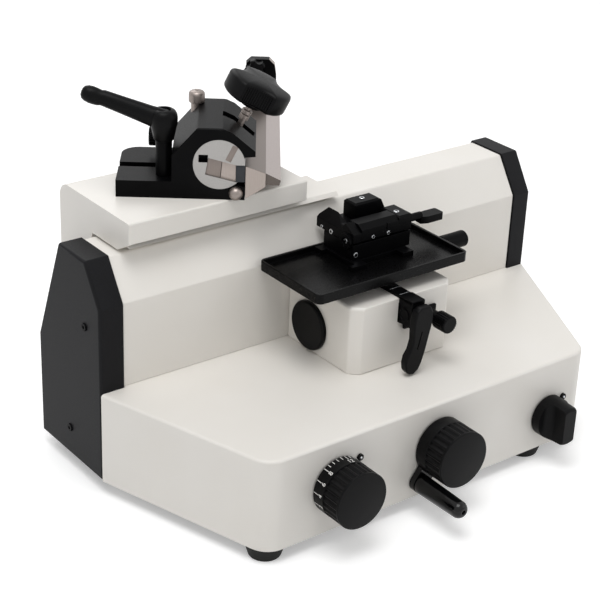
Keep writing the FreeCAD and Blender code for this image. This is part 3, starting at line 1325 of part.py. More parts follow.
def tilt_disc():
    """The light drum in the bore that tilts with the knife, slotted for its carrier."""
    body = new_body("tilt_disc")
    pad(body, "XZ_Plane", "0", "body_depth",
        rings=[("bore_x", "bore_z", "bore_radius - disc_gap")], back=True)
    gate = [("carrier_x", "carrier_top"), ("carrier_low_x", "carrier_low"),
            ("carrier_right", "carrier_foot"), ("carrier_right", "seat_low"),
            ("bar_right", "seat_low"), ("bar_right", "seat_top"), ("carrier_right", "seat_top"),
            ("carrier_right", "carrier_brow")]
    cut(body, "XZ_Plane", "cut_over", "body_depth + 2 * cut_over", gate)
    relief = oblong("relief_left", "relief_right", "relief_low", "relief_top")
    cut(body, "XZ_Plane", "cut_over", "relief_deep + cut_over", relief)
    primitive(body, "SubtractiveCylinder", "stem_x", "slot_y", "bore_z",
              Rotation(Vector(0, 1, 0), size("stem_tilt")), Radius="stem_radius + running_gap",
              Height="slot_reach")
    holder_place(body)


def knife_carrier():
    """The steel bar in the drum that the clamping screw presses on the knife."""
    body = new_body("knife_carrier")
    pad(body, "XZ_Plane", "-carrier_set", "body_depth - carrier_set", carrier_section(), back=True)
    holder_place(body)


def knife_seat():
    """The dark pad between the carrier and the knife's back."""
    body = new_body("knife_seat")
    pad(body, "XZ_Plane", "-carrier_set", "body_depth - carrier_set",
        oblong("carrier_right", "seat_right", "seat_low", "seat_top"), back=True)
    holder_place(body)


def knife_bar():
    """The long steel bar that backs the knife and reaches out past the holder."""
    body = new_body("knife_bar")
    section = [("bar_left", "bar_foot"), ("bar_left", "bar_top"), ("bar_right", "bar_brow"),
               ("bar_right", "bar_heel")]
    pad(body, "XZ_Plane", "0", "knife_length", section, back=True)
    holder_place(body)


def knife():
    """The knife: a hollow-backed steel wedge with its edge to the right."""
    body = new_body("knife")
    section = [("bar_right", "bar_heel + bar_edge"), ("bar_right", "bar_brow - bar_edge"),
               ("edge_x", "edge_top"), ("edge_low_x", "edge_low")]
    pad(body, "XZ_Plane", "-knife_set", "knife_length - knife_set", section, back=True)
    holder_place(body)


def end_plate():
    """The upright plate at the knife's far end, rounded toward the edge."""
    body = new_body("end_plate")
    outline = [("bar_left", "bar_foot"), ("plate_left", "bar_top"),
               ("plate_left", "end_knob_z + end_knob_cut"),
               ("plate_crown", "plate_top"), ("plate_brow", "plate_top"),
               ("plate_cheek", "plate_cheek_z"), ("plate_right", "plate_right_top"),
               ("plate_right", "plate_right_low"), ("bar_right", "bar_heel"),
               ("bar_right", "bar_foot")]
    pad(body, "XZ_Plane", "-knife_length", "plate_thick", outline, back=True)
    cut(body, "XZ_Plane", "-knife_length + cut_over", "plate_thick + 2 * cut_over",
        rings=[("end_knob_x", "end_knob_z", "end_stud + running_gap")])
    holder_place(body)


def end_knob():
    """The small star knob in front of the end plate."""
    body = new_body("end_knob")
    edge = "holder_edge"
    outline = [("0", "0"), ("end_knob_radius - " + edge, "0"), ("end_knob_radius", edge),
               ("end_knob_radius", "end_knob_thick - " + edge),
               ("end_knob_radius - " + edge, "end_knob_thick"), ("0", "end_knob_thick")]
    spin(body, "XZ_Plane", outline)
    notch = cut(body, "XY_Plane", "-cut_over", "end_knob_thick + 2 * cut_over",
                rings=[("end_knob_radius + " + edge, "0", "end_knob_cut")], along=True)
    repeat_round(body, notch, "end_knob_lobes")
    pad(body, "XY_Plane", "0", "plate_thick", rings=[("0", "0", "end_stud")], back=True)
    holder_place(body, "end_knob_x", "knife_length - seat_gap", "end_knob_z", TO_FRONT)


def stem_place(body):
    """Stand a piece drawn about z on the leaning clamping screw."""
    lean = Rotation(Vector(0, 1, 0), size("stem_tilt"))
    holder_place(body, "stem_x", "slot_y", "bore_z", lean)


def clamp_stem():
    """The clamping screw, with a bright collar outside the body."""
    body = new_body("clamp_stem")
    outline = [("0", "stem_start"), ("stem_radius", "stem_start"), ("stem_radius", "collar_start"),
               ("collar_radius", "collar_start"), ("collar_radius", "collar_end"),
               ("stem_radius", "collar_end"), ("stem_radius", "stem_end"), ("0", "stem_end")]
    spin(body, "XZ_Plane", outline)
    stem_place(body)


def clamp_knob():
    """The big three-lobed knob on the clamping screw."""
    body = new_body("clamp_knob")
    foot = "knob_start"
    base = "knob_start + knob_neck"
    top = "knob_start + knob_neck + knob_thick"
    outline = [("0", foot), ("neck_radius", foot), ("neck_radius", base),
               ("knob_radius - knob_slope", base), ("knob_radius", base + " + knob_slope"),
               ("knob_radius", top + " - knob_slope"), ("knob_radius - knob_slope", top),
               ("dome_radius", top + " + knob_dome"), ("0", top + " + knob_dome")]
    spin(body, "XZ_Plane", outline)
    valley = cut(body, "XY_Plane", base, "knob_thick + knob_dome + cut_over",
                 rings=[("0", "-lobe_far", "lobe_cut")], along=True)
    repeat_round(body, valley, "lobes")
    cut(body, "XY_Plane", foot + " - cut_over", "stem_end - knob_start + cut_over",
        rings=[("0", "0", "stem_radius")], along=True)
    stem_place(body)


def write_parts():
    """Check every object and every piece, then write one file for each piece."""
    DOC.recompute()
    for item in DOC.Objects:
        if "Invalid" in item.State or "Error" in item.State:
            raise ValueError("%s did not build: %s" % (item.Name, item.State))
    os.makedirs("parts", exist_ok=True)
    bad = [piece.Label for piece in PARTS if piece.Shape.isNull() or not piece.Shape.isValid()]
    if bad:
        raise ValueError("no valid shape: " + ", ".join(bad))
    for piece in PARTS:
        piece.Shape.exportStep(os.path.join("parts", piece.Label + ".step"))
        print(piece.Label, len(piece.Shape.Solids), round(piece.Shape.Volume))


fill_sheet()
for build in (base_housing, base_cover, feet, track_housing, end_caps, cap_screws,
              specimen_housing, side_plug, rail_bed, guide_rails, bearing_blocks, sledge_slide,
              sledge_cover, sledge_skirt, column_guide, lift_column, feed_nut, feed_spindle,
              gears, gear_bracket, knob_bushes, knob_shafts, thickness_dial, handwheel,
              crank_arm, crank_grip, selector_knob, index_pins, lock_arm, lock_lever, arm_knob,
              specimen_tray, clamp_foot, clamp_base, tilt_screw, clamp_body, clamp_cheek,
              side_block, rear_jaw, clamp_screws, paddle_lever, holder_body, clamp_post,
              clamp_lever, tee_nut, locating_pin, front_stop, side_lock, tilt_disc,
              knife_carrier, knife_seat, knife_bar, knife, end_plate, end_knob, clamp_stem,
              clamp_knob):
    build()
write_parts()
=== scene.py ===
import math

import bmesh
import bpy
from mathutils import Matrix, Vector


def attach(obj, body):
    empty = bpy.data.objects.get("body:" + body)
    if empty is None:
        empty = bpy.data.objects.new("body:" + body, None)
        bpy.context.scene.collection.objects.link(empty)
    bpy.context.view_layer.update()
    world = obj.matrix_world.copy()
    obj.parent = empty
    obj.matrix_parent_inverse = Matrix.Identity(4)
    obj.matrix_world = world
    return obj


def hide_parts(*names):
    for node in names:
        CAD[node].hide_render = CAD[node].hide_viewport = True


# A sledge microtome in white powder coat, black mouldings and black anodised aluminium.
#
# Pieces are modelled in millimetres at the origin of the bench, the knife holder, a knob or
# a screw, and then stood in their place, so that each mesh ends up in metres where its solid
# is. The bench has x along the track, y back from the track's front plane, z up from the
# underside of the base.

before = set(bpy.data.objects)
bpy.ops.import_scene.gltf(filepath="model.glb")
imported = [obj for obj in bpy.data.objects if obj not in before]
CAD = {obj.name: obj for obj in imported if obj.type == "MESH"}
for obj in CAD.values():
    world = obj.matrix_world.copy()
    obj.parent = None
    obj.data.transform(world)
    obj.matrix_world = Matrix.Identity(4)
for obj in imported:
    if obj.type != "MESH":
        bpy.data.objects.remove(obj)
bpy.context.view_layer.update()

# places on the bench that several pieces share
BASE_FRONT = -149.1
SLEDGE_TOP = 202
DIAL_AT = (107.5, 39)
WHEEL_AT = (204, 40)
SELECTOR_AT = (319.5, 29)
INDEX_AT = ((127.5, 54.5), (336, 40))
CRANK_REACH = 31.9
CRANK_TURN = math.radians(232.5)

# the knife holder stands turned on the sledge; the drum and the screw are in its own frame
HOLDER_TURN = math.radians(-36)
DRUM_X, DRUM_Z = 76.6, 27.7
STEM_X, SLOT_Y = 81.8, 34
STEM_LEAN = math.radians(25)

BENCH = Matrix.Translation((-0.215, 0.0329685, 0.011)) @ Matrix.Scale(0.001, 4)
HOLDER = BENCH @ Matrix.Translation((49.2, 56.1, SLEDGE_TOP)) @ Matrix.Rotation(
    HOLDER_TURN, 4, "Z")
STEM = HOLDER @ Matrix.Translation((STEM_X, SLOT_Y, DRUM_Z)) @ Matrix.Rotation(
    STEM_LEAN, 4, "Y")
TO_FRONT = Matrix.Rotation(math.radians(90), 4, "X")
TO_LEFT = Matrix.Rotation(math.radians(-90), 4, "Y")
TO_RIGHT = Matrix.Rotation(math.radians(90), 4, "Y")


def on_bench(x, y, z, turned=Matrix()):
    """A place on the bench, turned about its own origin."""
    return BENCH @ Matrix.Translation((x, y, z)) @ turned


def on_front(across, up, front=BASE_FRONT):
    """The place of a knob: its z comes out of the base's front, its y points up."""
    return on_bench(across, front, up, TO_FRONT)


# Finishes


def linear(code):
    """An sRGB hex colour as the linear values that the shaders take."""
    parts = [int(code[i:i + 2], 16) / 255 for i in (1, 3, 5)]
    return [c / 12.92 if c <= 0.04045 else ((c + 0.055) / 1.055) ** 2.4 for c in parts] + [1]


def add(tree, kind, feeds=(), **settings):
    """Add a shader node, set its options, and link or fill its sockets."""
    node = tree.nodes.new("ShaderNode" + kind)
    for name, value in settings.items():
        setattr(node, name, value)
    for socket, source in dict(feeds).items():
        if isinstance(source, bpy.types.NodeSocket):
            tree.links.new(source, node.inputs[socket])
        else:
            node.inputs[socket].default_value = source
    return node


def finish(name, colour, roughness, metallic=0.0, **more):
    """A material whose shader starts from one colour, roughness and metallic value."""
    material = bpy.data.materials.new(name)
    material.use_nodes = True
    tree = material.node_tree
    shader = tree.nodes["Principled BSDF"]
    values = dict(Base_Color=linear(colour), Roughness=roughness, Metallic=metallic, **more)
    for socket, value in values.items():
        shader.inputs[socket.replace("_", " ")].default_value = value
    return material, tree, shader


def drive(tree, shader, colour, roughness, relief):
    """Let patterns drive the shader's colour, roughness and surface."""
    for socket, source in (("Base Color", colour.outputs[2]),
                           ("Roughness", roughness.outputs["Result"]),
                           ("Normal", relief.outputs["Normal"])):
        tree.links.new(source, shader.inputs[socket])


def powder_coat():
    """Polyester powder coat on cast and folded aluminium: a warm white that clouds a little
    over 60 mm, and an orange peel, its waves 1.6 mm here so that they show, which breaks up
    the satin gloss."""
    material, tree, shader = finish("powder_coat_white", "#E7E3DD", 0.4)
    where = add(tree, "TexCoord").outputs["Object"]
    cloud = add(tree, "TexNoise", {"Vector": where, "Scale": 1000 / 60, "Detail": 2})
    peel = add(tree, "TexNoise", {"Vector": where, "Scale": 1000 / 1.6, "Detail": 2})
    tone = add(tree, "Mix", {0: cloud.outputs["Fac"], 6: linear("#E4E0D9"),
                             7: linear("#EAE7E2")}, data_type="RGBA")
    gloss = add(tree, "MapRange", {"Value": peel.outputs["Fac"], "From Min": 0.3,
                                   "From Max": 0.7, "To Min": 0.36, "To Max": 0.45})
    waves = add(tree, "Bump", {"Height": peel.outputs["Fac"], "Distance": 0.010 / 1000})
    drive(tree, shader, tone, gloss, waves)
    return material


def moulding(name, valley, top, roughness, grain, depth, shine):
    """Moulded plastic with an eroded grain: near black, paler and drier on the grain's tops.
    The grain is given in millimetres, coarser than a real one so that it shows."""
    material, tree, shader = finish(name, valley, roughness, Specular_IOR_Level=shine)
    where = add(tree, "TexCoord").outputs["Object"]
    pattern = add(tree, "TexNoise", {"Vector": where, "Scale": 1000 / grain, "Detail": 4})
    spread = add(tree, "MapRange", {"Value": pattern.outputs["Fac"], "From Min": 0.3,
                                    "From Max": 0.7})
    tone = add(tree, "Mix", {0: spread.outputs["Result"], 6: linear(valley),
                             7: linear(top)}, data_type="RGBA")
    gloss = add(tree, "MapRange", {"Value": pattern.outputs["Fac"], "From Min": 0.3,
                                   "From Max": 0.7, "To Min": roughness - 0.07,
                                   "To Max": roughness + 0.07})
    bumps = add(tree, "Bump", {"Height": pattern.outputs["Fac"], "Distance": depth / 1000})
    drive(tree, shader, tone, gloss, bumps)
    return material


def phenolic():
    """Phenolic resin pressed in a polished mould: deep black with wet highlights, and faint
    flow marks along the pressing."""
    material, tree, shader = finish("phenolic_gloss_black", "#050506", 0.14,
                                    Specular_IOR_Level=0.3)
    where = add(tree, "TexCoord").outputs["Object"]
    drawn = add(tree, "Mapping", {"Vector": where, "Scale": (1, 0.25, 1)})
    flow = add(tree, "TexNoise", {"Vector": drawn.outputs[0], "Scale": 1000 / 9})
    tone = add(tree, "Mix", {0: flow.outputs["Fac"], 6: linear("#030304"),
                             7: linear("#0A0A0B")}, data_type="RGBA")
    gloss = add(tree, "MapRange", {"Value": flow.outputs["Fac"], "From Min": 0.3,
                                   "From Max": 0.7, "To Min": 0.1, "To Max": 0.18})
    waves = add(tree, "Bump", {"Height": flow.outputs["Fac"], "Distance": 0.02 / 1000})
    drive(tree, shader, tone, gloss, waves)
    return material


def anodised(name, dark, pale, shine, roughness=0.38):
    """Aluminium, milled, bead blasted and anodised: a dyed oxide skin with a fine blasted
    tooth 0.7 mm here, and dye that takes a little unevenly over 18 mm."""
    material, tree, shader = finish(name, dark, roughness, Specular_IOR_Level=shine)
    where = add(tree, "TexCoord").outputs["Object"]
    dye = add(tree, "TexNoise", {"Vector": where, "Scale": 1000 / 18, "Detail": 2})
    blast = add(tree, "TexNoise", {"Vector": where, "Scale": 1000 / 0.7, "Detail": 3})
    spread = add(tree, "MapRange", {"Value": dye.outputs["Fac"], "From Min": 0.3,
                                    "From Max": 0.7})
    tone = add(tree, "Mix", {0: spread.outputs["Result"], 6: linear(dark),
                             7: linear(pale)}, data_type="RGBA")
    gloss = add(tree, "MapRange", {"Value": blast.outputs["Fac"], "From Min": 0.3,
                                   "From Max": 0.7, "To Min": roughness - 0.05,
                                   "To Max": roughness + 0.05})
    tooth = add(tree, "Bump", {"Height": blast.outputs["Fac"], "Distance": 0.012 / 1000})
    drive(tree, shader, tone, gloss, tooth)
    return material


def metal(name, dark, pale, roughness, spacing, depth, drawn=(1, 1, 1), spread=0.06):
    """Bare metal with tool marks about spacing millimetres apart, coarser than real ones so
    that they show, and long where drawn is small: they catch the light by turns."""
    material, tree, shader = finish(name, pale, roughness, 1.0)
    where = add(tree, "TexCoord").outputs["Object"]
    along = add(tree, "Mapping", {"Vector": where, "Scale": drawn})
    marks = add(tree, "TexNoise", {"Vector": along.outputs[0], "Scale": 1000 / spacing,
                                   "Detail": 3})
    even = add(tree, "MapRange", {"Value": marks.outputs["Fac"], "From Min": 0.3,
                                  "From Max": 0.7})
    tone = add(tree, "Mix", {0: even.outputs["Result"], 6: linear(dark), 7: linear(pale)},
               data_type="RGBA")
    gloss = add(tree, "MapRange", {"Value": marks.outputs["Fac"], "From Min": 0.3,
                                   "From Max": 0.7, "To Min": roughness - spread,
                                   "To Max": roughness + spread})
    lines = add(tree, "Bump", {"Height": marks.outputs["Fac"], "Distance": depth / 1000})
    drive(tree, shader, tone, gloss, lines)
    return material


def rubber():
    """Nitrile rubber, moulded: dull black with a dusty bloom in patches of 2.5 mm."""
    return moulding("nitrile_rubber_moulded", "#0C0C0C", "#1C1C1B", 0.8, 2.5, 0.03, 0.3)


def ink():
    """White screen ink filled into the dial's marks: matt, and worn thin in specks."""
    return moulding("marking_ink_white", "#D9D9D6", "#F0F0EE", 0.6, 1.2, 0.004, 0.4)


PAINT = powder_coat()
CAP = moulding("abs_grained_black", "#0B0B0D", "#141417", 0.52, 0.9, 0.03, 0.14)
KNOB = moulding("abs_satin_black", "#050506", "#0A0A0B", 0.38, 1.1, 0.010, 0.1)
GLOSS = phenolic()
BLACK = anodised("anodised_aluminium_black", "#030304", "#070708", 0.06)
# paler edges for black anodised pieces: partly rubbed wear, partly a painted highlight
EDGE_WEAR_AND_HIGHLIGHT = anodised("anodised_edge_rubbed_and_highlit", "#313134", "#4A4A4E", 0.45, 0.3)
TRAY = anodised("anodised_tray_black", "#030303", "#060607", 0.1, 0.28)
PAD = anodised("anodised_pad_slate", "#2A2C30", "#34373C", 0.3)
STEEL = metal("steel_ground", "#9D938D", "#A59B95", 0.36, 0.4, 0.0006, (1, 1, 0.06))
BLADE = metal("steel_lapped", "#A89E9B", "#AFA5A2", 0.32, 0.35, 0.0004, (1, 1, 0.1))
# the ground steel made darker: painted shade and a painted dark reflection
SHADED = metal("steel_painted_shade", "#7D746F", "#857C77", 0.38, 0.4, 0.0006, (1, 1, 0.08))
# steel darkened as painted shade, for the blade's front end
END_SHADE_STEEL = metal("steel_painted_end_shade", "#5C5551", "#67605C", 0.42, 0.8, 0.0008)
NICKEL = metal("steel_satin_nickel", "#8C837E", "#958C87", 0.4, 1.2, 0.0002)
DRUM = metal("aluminium_blasted", "#A5A3A1", "#B4B2B0", 0.62, 0.6, 0.006)
ALUMINIUM = metal("aluminium_turned", "#B9BABB", "#D2D3D4", 0.38, 0.6, 0.006)
IRON = metal("iron_machined_oiled", "#4A4745", "#6C6966", 0.42, 1.2, 0.01, (0.12, 1, 1))
BRASS = metal("bronze_turned", "#9A7B45", "#B8975C", 0.32, 0.8, 0.006)
ZINC = metal("steel_zinc_plated", "#B4B6B9", "#DADCDF", 0.24, 1.5, 0.004)
RUBBER = rubber()
INK = ink()

NODE_FINISH = {
    "base_housing": PAINT, "base_cover": IRON, "feet": RUBBER, "track_housing": PAINT,
    "left_end_cap": CAP, "right_end_cap": CAP, "cap_screws": BLACK, "specimen_housing": PAINT,
    "side_plug": KNOB, "rail_bed": PAINT, "guide_rails": STEEL, "column_guide": BLACK,
    "gear_bracket": IRON, "knob_bushes": BLACK, "index_pins": KNOB, "lock_arm": BLACK,
    "sledge_cover": PAINT, "sledge_skirt": PAINT, "sledge_slide": IRON,
    "bearing_blocks": STEEL, "holder_body": BLACK, "clamp_post": BLACK, "tee_nut": BLACK,
    "locating_pin": NICKEL, "front_stop": NICKEL, "tilt_disc": DRUM,
    "knife_carrier": SHADED, "knife_seat": PAD, "knife_bar": STEEL, "knife": BLADE,
    "end_plate": STEEL, "clamp_stem": NICKEL, "clamp_knob": KNOB, "end_knob": KNOB,
    "clamp_lever": KNOB, "side_lock": BLACK, "lift_column": ALUMINIUM, "feed_nut": BRASS,
    "specimen_tray": TRAY, "clamp_foot": BLACK, "clamp_base": BLACK, "tilt_screw": BLACK,
    "clamp_body": BLACK, "clamp_cheek": BLACK, "side_block": BLACK, "clamp_screws": ZINC,
    "rear_jaw": BLACK, "paddle_lever": BLACK, "handwheel": KNOB, "crank_arm": GLOSS,
    "handwheel_shaft": STEEL, "shaft_gear": BRASS, "feed_spindle": STEEL,
    "spindle_gear": BRASS, "crank_grip": GLOSS, "thickness_dial": KNOB, "dial_shaft": STEEL,
    "selector_knob": KNOB, "lock_lever": BLACK, "arm_knob": BLACK,
}
for node_name, node_finish in NODE_FINISH.items():
    CAD[node_name].data.materials.clear()
    CAD[node_name].data.materials.append(node_finish)


# Ways of modelling


def only(piece):
    """Select one piece and nothing else."""
    bpy.ops.object.select_all(action="DESELECT")
    piece.select_set(True)
    bpy.context.view_layer.objects.active = piece


def begin(name, kind, **settings):
    """Add a primitive under a name, alone in the selection."""
    bpy.ops.object.select_all(action="DESELECT")
    getattr(bpy.ops.mesh, "primitive_" + kind + "_add")(**settings)
    piece = bpy.context.active_object
    piece.name = name
    piece.data.name = name
    return piece


def pick(piece, kind, test):
    """Open the piece for editing with just the elements selected that pass a test."""
    only(piece)
    bpy.ops.object.mode_set(mode="EDIT")
    bpy.ops.mesh.select_mode(type=kind)
    bpy.ops.mesh.select_all(action="DESELECT")
    grid = bmesh.from_edit_mesh(piece.data)
    grid.normal_update()
    elements = {"VERT": grid.verts, "EDGE": grid.edges, "FACE": grid.faces}[kind]
    for element in elements:
        if test(element):
            element.select_set(True)
    bmesh.update_edit_mesh(piece.data)


def close(piece, outward=False):
    """Leave editing, with the normals turned outward if asked."""
    if outward:
        bpy.ops.mesh.select_all(action="SELECT")
        bpy.ops.mesh.remove_doubles(threshold=0.001)
        bpy.ops.mesh.normals_make_consistent(inside=False)
    bpy.ops.object.mode_set(mode="OBJECT")
    return piece


def modify(piece, kind, **settings):
    """Add a modifier and apply it."""
    only(piece)
    step = piece.modifiers.new(kind.lower(), kind)
    for name, value in settings.items():
        setattr(step, name, value)
    bpy.ops.object.modifier_apply(modifier=step.name)
    return piece


def ease(piece, width, segments=2, limit=35, material=-1):
    """Round over every edge that turns by more than the limit."""
    return modify(piece, "BEVEL", width=width, segments=segments, limit_method="ANGLE",
                  angle_limit=math.radians(limit), material=material, use_clamp_overlap=True,
                  miter_outer="MITER_ARC")


def sweep(name, outline, low, high):
    """Draw an outline as a face at height low and extrude it up to high."""
    piece = begin(name, "circle", vertices=len(outline), radius=1, fill_type="NGON")
    for vertex, (across, along) in zip(piece.data.vertices, outline):
        vertex.co = (across, along, low)
    pick(piece, "FACE", lambda face: True)
    bpy.ops.mesh.extrude_region_move(TRANSFORM_OT_translate={"value": (0, 0, high - low)})
    return close(piece, True)


def turn(name, profile, steps=96):
    """Spin a profile of radius and height about z. It starts and ends on the axis."""
    piece = begin(name, "circle", vertices=len(profile), radius=1, fill_type="NOTHING")
    for vertex, (radius, height) in zip(piece.data.vertices, profile):
        vertex.co = (radius, 0, height)
    pick(piece, "EDGE", lambda edge: all(v.co.x < 1e-6 for v in edge.verts))
    bpy.ops.mesh.delete(type="EDGE")
    bpy.ops.mesh.select_all(action="SELECT")
    bpy.ops.mesh.spin(steps=steps, angle=math.tau, center=(0, 0, 0), axis=(0, 0, 1))
    return close(piece, True)


def grow(piece, sign, moves):
    """Extrude the top or the underside in steps, each one scaled about the axis."""
    last = 1.0
    for share, rise in moves:
        end = max(vertex.co.z * sign for vertex in piece.data.vertices) - 0.001
        pick(piece, "FACE", lambda face: all(v.co.z * sign > end for v in face.verts))
        bpy.ops.mesh.extrude_region_move(TRANSFORM_OT_translate={"value": (0, 0, sign * rise)})
        factor = share / last
        bpy.ops.transform.resize(value=(factor, factor, 1), center_override=(0, 0, 0))
        last = share
        bpy.ops.object.mode_set(mode="OBJECT")
    return piece


def carve(piece, *tools):
    """Take the tools' shapes out of a piece and clear the tools away."""
    for tool in tools:
        modify(piece, "BOOLEAN", operation="DIFFERENCE", object=tool, solver="EXACT")
        bpy.data.objects.remove(tool)
    return piece


def weld(piece, *others):
    """Join other pieces to this one."""
    bpy.ops.object.select_all(action="DESELECT")
    for other in others:
        other.select_set(True)
    piece.select_set(True)
    bpy.context.view_layer.objects.active = piece
    bpy.ops.object.join()
    return piece


def twin(piece, place):
    """A copy of a piece with its own mesh, stood at another place."""
    copy = piece.copy()
    copy.data = piece.data.copy()
    bpy.context.scene.collection.objects.link(copy)
    return stand(copy, place)


def stand(piece, place):
    """Move a piece to its place and put that place in its mesh."""
    only(piece)
    piece.matrix_world = place
    bpy.ops.object.transform_apply(location=True, rotation=True, scale=True)
    return piece


def dress(piece, body, slot, finishes, *nodes, smooth=32, level=False):
    """Give a piece its finish, its body and the solids that it stands for; the slot is not
    used.
    """
    for index, one in enumerate(finishes):
        if index < len(piece.data.materials):
            piece.data.materials[index] = one
        else:
            piece.data.materials.append(one)
    only(piece)
    bpy.ops.object.shade_smooth_by_angle(angle=math.radians(smooth))
    if level:
        modify(piece, "WEIGHTED_NORMAL", keep_sharp=True, weight=100)
    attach(piece, body)
    if nodes:
        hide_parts(*nodes)
    return piece


def joined(node, name):
    """A solid's own shape as one closed mesh, in millimetres of the bench."""
    mesh = CAD[node].data.copy()
    piece = bpy.data.objects.new(name, mesh)
    bpy.context.scene.collection.objects.link(piece)
    mesh.transform(BENCH.inverted())
    pick(piece, "FACE", lambda face: True)
    bpy.ops.mesh.customdata_custom_splitnormals_clear()
    bpy.ops.mesh.remove_doubles(threshold=0.002)
    bpy.ops.mesh.dissolve_limited(angle_limit=math.radians(0.5))
    bpy.ops.object.mode_set(mode="OBJECT")
    return piece


def fluted_ring(radius, deep, count, points=6, share=0.5):
    """A round outline with scooped flutes, as x and y."""
    corners = []
    for number in range(count):
        for point in range(points):
            part = point / points
            inside = part < share
            scoop = math.sin(math.pi * part / share) if inside else 0
            angle = math.tau * (number + part) / count
            reach = radius - deep * scoop
            corners.append((reach * math.cos(angle), reach * math.sin(angle)))
    return corners


def ring_of(radius, count):
    """A plain round outline, as x and y."""
    return [(radius * math.cos(math.tau * i / count), radius * math.sin(math.tau * i / count))
            for i in range(count)]


# Pieces

EASED = [
    # solid, piece, body, slot, finish, edge, limit
    ("base_housing", "painted_base", "frame", "white_paint", PAINT, 0.8, 40),
    ("track_housing", "painted_track", "frame", "white_paint", PAINT, 0.7, 40),
    ("specimen_housing", "painted_housing", "frame", "white_paint", PAINT, 1.2, 25),
    ("left_end_cap", "cap_left", "frame", "cap_plastic", CAP, 0.8, 40),
    ("right_end_cap", "cap_right", "frame", "cap_plastic", CAP, 0.8, 40),
    ("side_plug", "housing_plug", "frame", "knob_plastic", KNOB, 0.5, 30),
    ("sledge_cover", "painted_sledge", "sledge", "white_paint", PAINT, 0.8, 35),
    ("sledge_skirt", "slide_plate", "sledge", "white_paint", PAINT, 0.4, 35),
    ("specimen_tray", "tray", "lift", "black_aluminium", TRAY, 0.4, 40),
    ("clamp_foot", "clamp_foot_plate", "lift", "black_aluminium", BLACK, 0.25, 35),
    ("clamp_base", "clamp_lower", "lift", "black_aluminium", BLACK, 0.3, 30),
    ("clamp_body", "clamp_upper", "clamp_top", "black_aluminium", BLACK, 0.3, 30),
    ("clamp_cheek", "clamp_end_cheek", "clamp_top", "black_aluminium", BLACK, 0.3, 25),
    ("side_block", "clamp_side_block", "clamp_top", "black_aluminium", BLACK, 0.25, 30),
    ("rear_jaw", "clamp_rear_jaw", "moving_jaw", "black_aluminium", BLACK, 0.25, 30),
    ("paddle_lever", "jaw_paddle", "jaw_lever", "black_aluminium", BLACK, 0.9, 35),
    ("tilt_screw", "tilt_rod_knob", "tilt_rod", "black_aluminium", BLACK, 0.5, 35),
    ("holder_body", "holder_block", "sledge", "black_aluminium", BLACK, 0.35, 30),
    ("clamp_post", "lever_post", "sledge", "black_aluminium", BLACK, 0.4, 40),
    # the knife back's long faces take the darker steel as painted shade
    ("knife_bar", "knife_back", "knife_unit", "ground_steel", SHADED, 0.3, 25),
    ("knife", "knife_blade", "knife_unit", "chrome", BLADE, 0.15, 25),
    ("end_plate", "far_plate", "knife_unit", "ground_steel", STEEL, 0.4, 12),
    ("end_knob", "far_star", "end_star", "knob_plastic", KNOB, 0.6, 35),
]


# the finishes painted on the faces that look to the holder's front, as painted light and shade,
# and the holder's two directions
# knife back: front ends light beside its darker long faces; blade: front end dark as painted
# shade; far plate: black as painted shade and painted dark reflection
FRONT_LIGHT_AND_SHADE = {"knife_back": STEEL, "knife_blade": END_SHADE_STEEL, "far_plate": BLACK}
FACING = Vector((math.sin(HOLDER_TURN), -math.cos(HOLDER_TURN), 0))
ACROSS = Vector((math.cos(HOLDER_TURN), math.sin(HOLDER_TURN), 0))


def eased_solids():
    """The plain machined and painted solids with their edges eased. Black anodised ones get
    paler edges, rubbed wear and painted highlight in one, and the foot plate bright ones."""
    for node, name, body, slot, one, edge, limit in EASED:
        piece = joined(node, name)
        if name == "holder_block":
            stand(carve(piece, arc_slot()), Matrix())
        dark = one in (BLACK, TRAY)
        # the bevel faces of black pieces take the paler edge finish, partly wear and partly
        # painted highlight
        ease(piece, edge, 2, limit, 1 if dark else -1)
        finishes = [one, EDGE_WEAR_AND_HIGHLIGHT] if dark else [one]
        if name in FRONT_LIGHT_AND_SHADE:
            finishes.append(FRONT_LIGHT_AND_SHADE[name])
            for polygon in piece.data.polygons:
                # front faces, and the far plate's faces that don't look across, take the
                # painted light or shade
                front = polygon.normal.dot(FACING) > 0.9
                shaded_side = name == "far_plate" and polygon.normal.dot(ACROSS) < 0.3
                if front or shaded_side:
                    polygon.material_index = len(finishes) - 1
        if name == "clamp_foot_plate":
            finishes[1] = ZINC
        stand(piece, BENCH)
        dress(piece, body, slot, finishes, node, level=True)


def arc_slot():
    """The shape of the wide slot in which the clamping screw can lean, in the bench frame."""
    beyond, half = 45, 5
    fan = [(DRUM_X, DRUM_Z)]
    for angle in (3, 24, 45, 66):
        lean = math.radians(angle)
        fan.append((DRUM_X + beyond * math.sin(lean), DRUM_Z + beyond * math.cos(lean)))
    tool = sweep("slot", fan, -SLOT_Y - half, -SLOT_Y + half)
    return stand(tool, BENCH.inverted() @ HOLDER @ TO_FRONT)


def box(name, low, high, edge):
    """A block between two corners with its edges eased."""
    middle = [(a + b) / 2 for a, b in zip(low, high)]
    piece = begin(name, "cube", size=1, location=middle,
                  scale=[b - a for a, b in zip(low, high)])
    bpy.ops.object.transform_apply(location=True, rotation=True, scale=True)
    return ease(piece, edge)


def fluted(name, radius, low, high, flutes, deep, edge):
    """A grip from low to high with flutes round it, its front edge rounded by edge."""
    piece = sweep(name, fluted_ring(radius, deep, flutes), low, high - edge)
    reach = edge / radius
    return grow(piece, 1, ((1 - reach * 0.08, edge * 0.38), (1 - reach * 0.32, edge * 0.32),
                           (1 - reach * 0.62, edge * 0.19), (1 - reach, edge * 0.11)))


